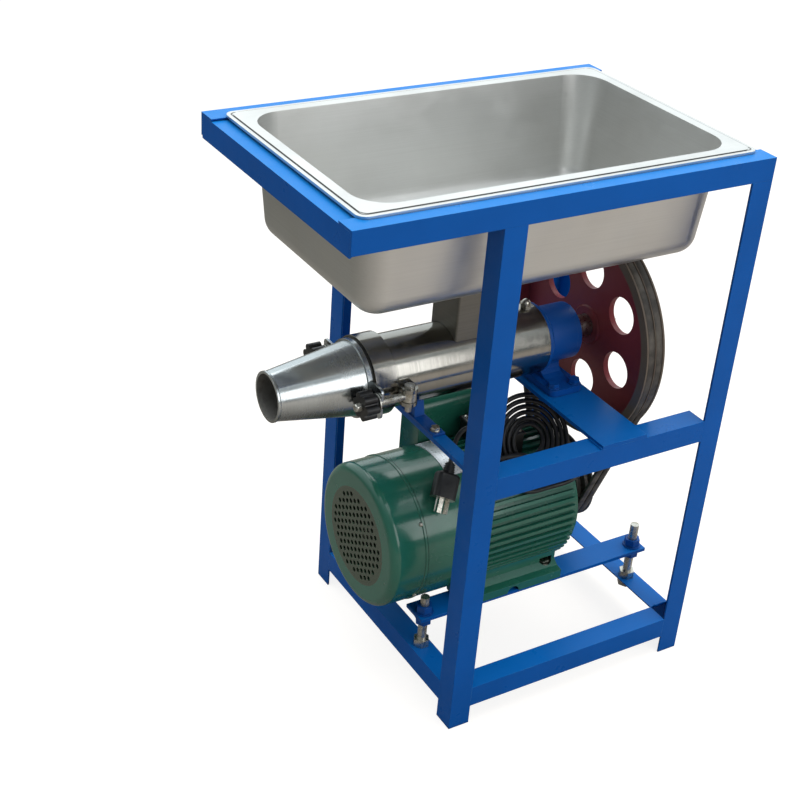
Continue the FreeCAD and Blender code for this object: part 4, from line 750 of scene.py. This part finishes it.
@dataclass
class MainsLead:
    """The mains lead: a bight from the gland, a loose flat coil, an arch and the plug."""

    radius: float = 0.0032
    length: float = 1.976
    exit: Place = (0.095, 0.0, 0.3095)
    coil_centre: Place = (0.0815, -0.0468, 0.3126)
    coil_slope: float = 58.0
    coil_radius: float = 0.063
    coil_step: float = 0.0038
    half_turns: int = 12
    points_per_half: int = 8
    relief_length: float = 0.024
    relief_root: float = 0.0068
    relief_tip: float = 0.0040
    relief_ribs: int = 7
    plug_top: Place = (-0.0425, -0.0497, 0.3165)
    plug_lead: float = 0.014
    plug_relief: float = 0.012
    plug_face: float = 0.0462
    sleeve_rings: int = 4
    ring_steps: tuple[float, ...] = (0.0, 0.0004, 0.0014, 0.0018)
    ring_foot: float = 0.005
    ring_radius: float = 0.0066
    ring_growth: float = 0.0004

    def on_coil(self, across: float, up: float, lift: float) -> Vector:
        """A point by its place in the coil's plane and its lift out of that plane.

        Args:
            across: The distance along X from the coil's middle, in metres.
            up: The distance up the coil's slope.
            lift: The height over the plane.

        Returns:
            The point.
        """
        slope = math.radians(self.coil_slope)
        uphill = Vector((0, math.cos(slope), math.sin(slope)))
        normal = Vector((0, -math.sin(slope), math.cos(slope)))
        return Vector(self.coil_centre) + Vector((across, 0, 0)) + uphill * up + normal * lift

    def bight(self) -> list[Vector]:
        """The route from the gland round to the bottom of the coil."""
        out = [(0.095, 0.0, 0.3095), (0.112, 0.0, 0.3095), (0.136, -0.005, 0.306), (0.154, -0.020, 0.299),
               (0.161, -0.044, 0.290), (0.159, -0.068, 0.280), (0.146, -0.083, 0.269), (0.126, -0.083, 0.261)]
        return [Vector(p) for p in out] + [self.on_coil(a, -self.coil_radius, 0) for a in (0.022, 0.0)]

    def coil(self) -> list[Vector]:
        """The turns, each half a little smaller than the one before, winding in from the bottom.

        Returns:
            Their points in order.
        """
        route = []
        low = -self.coil_radius
        side = -1
        for i in range(self.half_turns):
            radius = self.coil_radius - i * self.coil_step
            reach = radius / math.cos(math.pi / (2 * self.points_per_half))
            for j in range(self.points_per_half):
                turn = math.pi * (j + 0.5) / self.points_per_half
                up = low - side * radius + side * reach * math.cos(turn)
                route.append(self.on_coil(side * reach * math.sin(turn), up, 0))
            low -= side * 2 * radius
            side = -side
        return route

    def arch(self) -> list[Vector]:
        """The route out over the turns, up in an arch and down to the plug.

        Returns:
            Its points in order.
        """
        end = -self.coil_radius + self.half_turns * self.coil_step
        over = [(0.0, 0.0, 0.0), (-0.006, 0.0, 0.0), (-0.012, 0.0025, 0.0032), (-0.018, 0.005, 0.0068),
                (-0.031, 0.008, 0.0098), (-0.054, 0.009, 0.009)]
        out = [(0.015, -0.060, 0.3115), (0.006, -0.0585, 0.319), (0.002, -0.055, 0.333),
               (-0.001, -0.049, 0.348), (-0.010, -0.043, 0.358), (-0.023, -0.040, 0.355),
               (-0.032, -0.041, 0.343)]
        top = Vector(self.plug_top)
        return ([self.on_coil(across, end + up, lift) for across, up, lift in over]
                + [Vector(p) for p in out] + [top - self.plug_way() * self.plug_lead, top])

    def plug_way(self) -> Vector:
        """The way that the plug points."""
        return Vector((-1, -1, -math.sqrt(2))).normalized()

    def build(self) -> None:
        """Make the lead, its relief at the gland and the plug's finish."""
        route = self.bight() + self.coil() + self.arch()
        data = bpy.data.curves.new("mains_lead", "CURVE")
        data.dimensions = "3D"
        data.resolution_u = 6
        line = data.splines.new("NURBS")
        line.points.add(len(route) - 1)
        for point, place in zip(line.points, route):
            point.co = (*place, 1.0)
        line.order_u = 3
        line.use_endpoint_u = True
        lead = placed("mains_lead", data)
        bare = bpy.data.meshes.new_from_object(lead)
        centre = [v.co.copy() for v in bare.vertices]
        bpy.data.meshes.remove(bare)
        data.bevel_depth = self.radius
        data.bevel_resolution = 4
        data.use_fill_caps = True
        data.materials.append(CABLE_SHEATH.material())
        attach(lead, Body.CARRIAGE.value)
        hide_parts("cable_ends", "cable_coil")
        relief = self.relief(centre)
        grip = self.grip()
        plastic = BLACK_PLASTIC.material()
        dress(["mains_plug", "cable_gland"], plastic)
        redress("mains_plug", PLATED_STEEL.material(), self.is_blade)

    def is_blade(self, place: Vector, normal: Vector) -> bool:
        """Whether a face of the plug belongs to its metal blades."""
        return (place - Vector(self.plug_top)).dot(self.plug_way()) > self.plug_face

    def grip(self) -> Piece:
        """Make the rings round the plug's own tapered sleeve.

        Returns:
            The rings as one piece.
        """
        outline = []
        for i in range(self.sleeve_rings):
            along = self.plug_relief * (i + 0.4) / self.sleeve_rings
            ring = self.ring_radius + self.ring_growth * i
            heights = (self.ring_foot, ring, ring, self.ring_foot)
            outline += [(along + step, height) for step, height in zip(self.ring_steps, heights)]
        sweep = Sweep()
        sweep.lathe(Vector(self.plug_top), self.plug_way(), outline)
        return sweep.piece("plug_sleeve", BLACK_RUBBER.material(), Body.CARRIAGE, "black_rubber")

    def relief(self, centre: Path) -> Piece:
        """Make the ribbed, tapered sleeve over the lead's first stretch.

        Args:
            centre: The lead's own centreline.

        Returns:
            The sleeve.
        """
        path = self.resample(centre, self.relief_length, 0.0004)

        def reach(along: float) -> float:
            """The tapered sleeve's radius, with its grooves.

            Args:
                along: The distance from the gland.

            Returns:
                The radius.
            """
            share = along / self.relief_length
            plain = self.relief_root + (self.relief_tip - self.relief_root) * share
            groove = math.cos(2 * math.pi * share * self.relief_ribs) < -0.2 and 0.08 < share < 0.95
            return plain - (0.0008 if groove else 0.0)

        sweep = Sweep()
        sweep.tube(path, reach, 28)
        return sweep.piece("strain_relief", BLACK_RUBBER.material(), Body.CARRIAGE, "black_rubber")

    def resample(self, centre: Path, length: float, step: float) -> list[Vector]:
        """Evenly spaced points along the first stretch of a line.

        Args:
            centre: The line.
            length: How much of it to take.
            step: The distance between points.

        Returns:
            The points.
        """
        path = [centre[0].copy()]
        wanted = step
        gone = 0.0
        for a, b in zip(centre, centre[1:]):
            span = (b - a).length
            while span > 0 and gone + span >= wanted and wanted <= length:
                path.append(a.lerp(b, (wanted - gone) / span))
                wanted += step
            gone += span
        return path


@dataclass
class WeldedFrame:
    """The stand of steel angle: paint, and weld beads in its inner corners."""

    bead: float = 0.0024
    wall: float = 0.003
    end_gap: float = 0.004
    foot_gap: float = 0.002
    flat_half: float = 0.028

    def build(self) -> None:
        """Paint the stand and lay its welds."""
        paint = BLUE_PAINT.material()
        names = [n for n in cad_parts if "rail" in n or n.startswith("leg_") or n.endswith("cross_bar")]
        dress(names, paint)
        welds = Sweep()
        for i, (start, end) in enumerate(self.seams()):
            welds.weld(start, end, self.bead, i)
        welds.piece("frame_welds", paint, Body.ROOT, "blue_paint")

    def inside(self, name: str, side: Side) -> tuple[Vector, Vector, float]:
        """The box of a rail or leg on one side, and the Y of its wall's inner face."""
        low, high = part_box(f"{name}_{side.word}")
        return low, high, side.value * (abs(low.y if side is Side.NEAR else high.y) - self.wall)

    def seams(self) -> list[tuple[Vector, Vector]]:
        """The seams where rails meet legs and cross bars meet rails.

        Returns:
            Both ends of each seam.
        """
        seams = []
        for side in Side:
            for name in ("mid_rail", "base_rail"):
                low, high, inner = self.inside(name, side)
                foot, top = low.z + self.foot_gap, high.z - self.wall
                seams += [(Vector((x, inner, foot)), Vector((x, inner, top))) for x in (low.x, high.x)]
            for leg in ("leg_front", "leg_rear"):
                low, high, inner = self.inside(leg, side)
                seams.append(self.along_x(low, high, inner))
            low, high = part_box("rear_cross_bar")
            edge = low.y if side is Side.NEAR else high.y
            end = edge - side.value * self.flat_half
            for x in (low.x, high.x):
                seams.append((Vector((x, edge, low.z)), Vector((x, end, low.z))))
        for name in ("base_rail_front", "base_rail_rear"):
            low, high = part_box(name)
            for y in (low.y, high.y):
                seams.append(self.along_x(low, high, y))
        return seams

    def along_x(self, low: Vector, high: Vector, y: float) -> tuple[Vector, Vector]:
        """A seam along the top of a box, a little short of its ends."""
        return Vector((low.x + self.end_gap, y, high.z)), Vector((high.x - self.end_gap, y, high.z))


@dataclass
class Hopper:
    """The pan and its neck: brushed sheet, with a bead of weld round the neck."""

    bead: float = 0.0016

    def build(self) -> None:
        """Finish the sheet and lay the neck's welds."""
        sheet = STAINLESS_SHEET.material()
        dress(["hopper_pan"], sheet)
        dress(["hopper_neck"], NECK_SHEET.material())
        low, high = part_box("hopper_neck")
        ends = ((low.x, low.y), (high.x, low.y), (high.x, high.y), (low.x, high.y))
        top = [Vector((x, y, high.z)) for x, y in ends]
        welds = Sweep()
        for i, (start, end) in enumerate(zip(top, top[1:] + top[:1])):
            welds.weld(start, end, self.bead, 40 + i)
        welds.piece("neck_weld", sheet, Body.ROOT, "stainless_sheet")


@dataclass
class Barrel:
    """The barrel, nozzle and swing bolts, with threads on the bolts."""

    axis_z: float = 0.442
    nozzle_inside: float = 0.0438
    bolt_spread: float = 0.064
    bolt_radius: float = 0.005
    bolt_tip: float = -0.194
    bolt_root: float = -0.134
    thread_pitch: float = 0.0015
    thread_height: float = 0.00024

    def build(self) -> None:
        """Finish the barrel's pieces and cut the threads."""
        dress(["nozzle_cone"], POLISHED_STEEL.material())
        dress(["barrel", "barrel_flange"], SHADED_STEEL.material())
        dress(["auger", "main_shaft", "shaft_bearings", "pivot_pins"], MACHINED_STEEL.material())
        dress(["nozzle_gasket", "shaft_seal"], BLACK_RUBBER.material())
        plated = PLATED_STEEL.material()
        dress(["barrel_set_bolt", "frame_bolts"], plated)
        casting = BLUE_CASTING.material()
        dress(["bearing_housing", "housing_cover", "barrel_saddle"], casting)
        redress("frame_bolts", casting, lambda place, normal: place.x > 0)
        redress("nozzle_cone", NOZZLE_INSIDE.material(), self.is_inside)
        plastic = BLACK_PLASTIC.material()
        for side, body in ((Side.NEAR, Body.NEAR_BOLT), (Side.FAR, Body.FAR_BOLT)):
            dress([f"swing_bolt_{side.word}", f"clamp_washer_{side.word}"], plated)
            dress([f"star_knob_{side.word}"], plastic)
            ridge = Sweep()
            tip = Vector((self.bolt_tip, side.value * self.bolt_spread, self.axis_z))
            ridge.thread(tip, Vector((1, 0, 0)), self.bolt_root - self.bolt_tip, self.bolt_radius,
                         self.thread_pitch, self.thread_height)
            ridge.piece(f"bolt_thread_{side.word}", plated, body, "plated_steel")

    def is_inside(self, place: Vector, normal: Vector) -> bool:
        """Whether a face of the nozzle looks in at its axis."""
        out = Vector((0, place.y, place.z - self.axis_z))
        return out.length < self.nozzle_inside and out.dot(normal) < 0


@dataclass
class Drive:
    """The big pulley, the two belts and the small pulley."""

    top_z: float = 0.442
    motor_z: float = 0.202
    belt_xs: tuple[float, float] = (0.178, 0.190)
    big_radius: float = 0.1445
    small_radius: float = 0.0545
    belt_width: float = 0.010
    belt_height: float = 0.006
    flank: float = 20.0
    travel: float = 0.006

    def build(self) -> None:
        """Finish the pulleys and make the belts."""
        dress(["big_pulley"], MAROON_IRON.material())
        dress(["motor_pulley"], GREY_IRON.material())
        cloth = BELT_CLOTH.material()
        belts = Sweep()
        for x in self.belt_xs:
            belts.rings([self.section(x, centre, out) for centre, out in self.loop()], True)
        piece = belts.piece("belts", cloth, Body.ROOT, "black_rubber")
        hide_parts("v_belts")
        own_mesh(piece)

    def loop(self) -> list[tuple[Vector, Vector]]:
        """The way round both pulleys at the belts' back.

        Returns:
            The points in order, each with its outward direction.
        """
        apart = self.top_z - self.motor_z
        tilt = math.asin((self.big_radius - self.small_radius) / apart)
        around = []
        over, under, run = 72, 36, 12
        for height, radius, first, span, steps in (
                (self.top_z, self.big_radius, -tilt, math.pi + 2 * tilt, over),
                (self.motor_z, self.small_radius, math.pi + tilt, math.pi - 2 * tilt, under)):
            for i in range(steps + 1):
                turn = first + span * i / steps
                out = Vector((0, math.cos(turn), math.sin(turn)))
                around.append((Vector((0, 0, height)) + out * radius, out))
        full = []
        for (here, out), (after, out_after) in zip(around, around[1:] + around[:1]):
            full.append((here, out))
            if (after - here).length > 0.05:
                full += [(here.lerp(after, j / run), out.lerp(out_after, j / run)) for j in range(1, run)]
        return full

    def section(self, x: float, place: Vector, out: Vector) -> list[Vector]:
        """The belt's rounded section at one place.

        Args:
            x: The belt's middle along X.
            place: The middle of its back.
            out: The outward direction.

        Returns:
            The section's corners in order.
        """
        half = self.belt_width / 2
        low = half - self.belt_height * math.tan(math.radians(self.flank))
        cut = 0.0008
        right = [(half - cut, 0.0), (half, cut), (low + cut * 0.4, self.belt_height - cut),
                 (low - cut * 0.6, self.belt_height)]
        left = [(-across, depth) for across, depth in right[::-1]]
        corners = left[2:] + right + left[:2]
        return [place + Vector((x + across, 0, 0)) - out * depth for across, depth in corners]


@dataclass
class Motor:
    """The motor on its bars, its covers, plate, screws and studs."""

    axis_z: float = 0.202
    plate_radius: float = 0.0974
    plate_ends: tuple[float, float] = (-0.0385, 0.0025)
    plate_turn: float = 25.0
    plate_margin: float = 0.0022
    border_radius: float = 0.00045
    rivet_radius: float = 0.0016
    rivet_inset: float = 0.004
    cover_radius: float = 0.096
    cover_screw_x: float = -0.0985
    cover_screw_turns: tuple[float, ...] = (-55.0, 55.0, 125.0, -125.0)
    screw_radius: float = 0.0028
    lid_inset: float = 0.006
    stud_places: tuple[tuple[float, float], ...] = ((-0.080, 0.136), (0.264, 0.147))
    stud_spread: float = 0.077
    stud_foot: float = 0.043
    stud_radius: float = 0.006
    stud_pitch: float = 0.00175
    stud_thread: float = 0.00025

    def build(self) -> None:
        """Finish the motor's pieces."""
        plated = PLATED_STEEL.material()
        dress(["motor_frame", "motor_shields", "capacitor_cover"], GREEN_IRON.material())
        dress(["terminal_box"], BLACK_PLASTIC.material())
        dress(["fan_cover"], GREEN_STEEL.material())
        dress(["nameplate"], BARE_PLATE.material())
        dress(["cooling_fan"], FAN_PLASTIC.material())
        dress(["motor_stator", "motor_rotor"], GREY_IRON.material())
        dress(["motor_shaft", "motor_bearings"], MACHINED_STEEL.material())
        dress(["motor_bars"], BLUE_PAINT.material())
        dress(["motor_bolts", "tension_studs"], plated)
        dress(["adjusting_nuts"], BLUE_CASTING.material())
        self.plate_rim()
        self.screws(plated)
        self.threads(plated)

    def on_body(self, x: float, turn: float, radius: float) -> Vector:
        """A point along and round the motor, turned in degrees from the top towards the far side."""
        a = math.radians(turn)
        return Vector((x, radius * math.sin(a), self.axis_z + radius * math.cos(a)))

    def plate_rim(self) -> None:
        """Raise a fine border on the bare plate and set a rivet in each corner."""
        x0, x1 = self.plate_ends[0] + self.plate_margin, self.plate_ends[1] - self.plate_margin
        radius = self.plate_radius
        edge = self.plate_turn - math.degrees(self.plate_margin / radius)
        steps = 24
        turns = [edge * (2 * i / steps - 1) for i in range(steps + 1)]
        lines = [[(x, turn) for turn in turns] for x in (x0, x1)]
        lines += [[(x, turn) for x in (x0, x1)] for turn in (-edge, edge)]
        border = Sweep()
        for line in lines:
            border.tube([self.on_body(x, turn, radius) for x, turn in line], lambda _: self.border_radius, 8)
        inset = math.degrees(self.rivet_inset / radius)
        for x in (x0 + self.rivet_inset, x1 - self.rivet_inset):
            for turn in (-edge + inset, edge - inset):
                self.dome(border, x, turn, radius, self.rivet_radius)
        border.piece("nameplate_border", BARE_PLATE.material(), Body.CARRIAGE, "bare_plate")

    def dome(self, sweep: Sweep, x: float, turn: float, radius: float, size: float) -> None:
        """Add a domed head that points away from the motor's axis.

        Args:
            sweep: What it is added to.
            x: Its place along the motor.
            turn: Degrees from the top towards the far side.
            radius: The surface that it sits on.
            size: The head's radius.
        """
        foot = self.on_body(x, turn, radius)
        out = (foot - Vector((x, 0, self.axis_z))).normalized()
        sweep.lathe(foot, out, [(-0.0004, size), (size * 0.3, size), (size * 0.6, size * 0.75),
                                (size * 0.75, size * 0.35)], 16)

    def screws(self, plated: Material) -> None:
        """Set the screws of the fan's cover and of the terminal box's lid.

        Args:
            plated: Their finish.
        """
        heads = Sweep()
        for turn in self.cover_screw_turns:
            self.dome(heads, self.cover_screw_x, turn, self.cover_radius, self.screw_radius)
        low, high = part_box("terminal_box")
        inset, radius = self.lid_inset, self.screw_radius
        head = [(0.0, radius), (0.0012, radius), (0.002, radius * 0.6)]
        for x in (low.x + inset, high.x - inset):
            for y in (low.y + inset, high.y - inset):
                heads.lathe(Vector((x, y, high.z - 0.0004)), Vector((0, 0, 1)), head, 16)
        heads.piece("cover_screws", plated, Body.CARRIAGE, "plated_steel")

    def threads(self, plated: Material) -> None:
        """Wind the threads of the four studs.

        Args:
            plated: Their finish.
        """
        ridge = Sweep()
        for x, top in self.stud_places:
            for side in Side:
                ridge.thread(Vector((x, side.value * self.stud_spread, self.stud_foot)), Vector((0, 0, 1)),
                             top - self.stud_foot, self.stud_radius, self.stud_pitch, self.stud_thread, 12)
        ridge.piece("stud_threads", plated, Body.ROOT, "plated_steel")


@dataclass
class Studio:
    """A plain pale floor and soft light from above and from the near side."""

    floor_radius: float = 9.0
    floor_light: Colour = (0.46, 0.405, 0.36, 1.0)
    floor_dark: Colour = (0.15, 0.14, 0.12, 1.0)
    floor_way: Place = (0.54, -0.84, 0.0)
    floor_glow: float = 0.76
    dark_glow: float = 0.91
    sky_tint: Colour = (0.92, 1.0, 1.03, 1.0)
    bright_way: Place = (0.30, 0.55, 0.78)
    bright: float = 1.2
    dim: float = 0.25
    top_power: float = 50.0
    top_size: float = 3.6
    near_power: float = 24.0
    near_size: float = 1.8

    def build(self) -> None:
        """Make the floor, the world and the lamps."""
        self.floor()
        self.world()
        self.lamp("top_light", (0.35, 0.35, 2.9), (0.0, 0.0, 0.5), self.top_size, self.top_power)
        self.lamp("near_light", (0.7, -2.7, 1.5), (0.0, 0.0, 0.35), self.near_size, self.near_power)

    def floor(self) -> None:
        """Lay a wide disc that reads as white and keeps the machine's shadow."""
        board = Board("studio_floor")
        share = board.remap(board.along(board.place, self.floor_way), -1.6, 1.2)
        board.set(Base_Color=board.blend(share, self.floor_dark, self.floor_light), Roughness=1.0,
                  Specular_IOR_Level=0.0)
        glow = board.remap(share, 0.0, 1.0, self.dark_glow, self.floor_glow)
        seen = board.node("LightPath", output="Is Camera Ray")
        board.set(Emission_Color=(1.0, 1.0, 1.0, 1.0), Emission_Strength=board.sum(seen, glow, "MULTIPLY"))
        sides = 64
        turns = [2 * math.pi * i / sides for i in range(sides)]
        mesh = bpy.data.meshes.new("studio_floor")
        rim = [(self.floor_radius * math.cos(t), self.floor_radius * math.sin(t), 0) for t in turns]
        mesh.from_pydata(rim, [], [tuple(range(sides))])
        mesh.materials.append(board.material)
        placed("studio_floor", mesh)

    def world(self) -> None:
        """A white surround for the eye, and a soft sky for light and gloss, brightest on the far side."""
        world = bpy.data.worlds.new("studio")
        world.use_nodes = True
        nodes = NodeTree(world.node_tree)
        towards = nodes.along(nodes.node("TexCoord", output="Generated"), self.bright_way)
        sky = nodes.remap(towards, 0.0, 0.75, self.dim, self.bright)
        tinted = nodes.node("VectorMath", {0: self.sky_tint[:3], "Scale": sky}, operation="SCALE")
        shown = nodes.blend(nodes.node("LightPath", output="Is Camera Ray"), tinted, (1.0, 1.0, 1.0, 1.0))
        nodes.feed(world.node_tree.nodes["Background"].inputs["Color"], shown)
        bpy.context.scene.world = world

    def lamp(self, name: str, place: Numbers, aim: Numbers, size: float, power: float) -> None:
        """Hang a soft lamp.

        Args:
            name: The lamp's name.
            place: Where it hangs, in metres.
            aim: What it points at.
            size: The side of its square face.
            power: Its power in watts.
        """
        data = bpy.data.lights.new(name, "AREA")
        data.size = size
        data.energy = power
        lamp = placed(name, data)
        lamp.location = place
        lamp.rotation_euler = (Vector(place) - Vector(aim)).to_track_quat("Z", "Y").to_euler()


def main() -> None:
    """Build the camera, the dressed machine and the studio."""
    logging.basicConfig(level=logging.INFO, format="%(message)s")
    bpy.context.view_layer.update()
    for part in (Viewpoint(), MainsLead(), WeldedFrame(), Hopper(), Barrel(), Drive(), Motor(), Studio()):
        part.build()
        log.info("built %s", type(part).__name__)
    bpy.context.scene.view_settings.view_transform = "Standard"


if __name__ == "__main__":
    main()
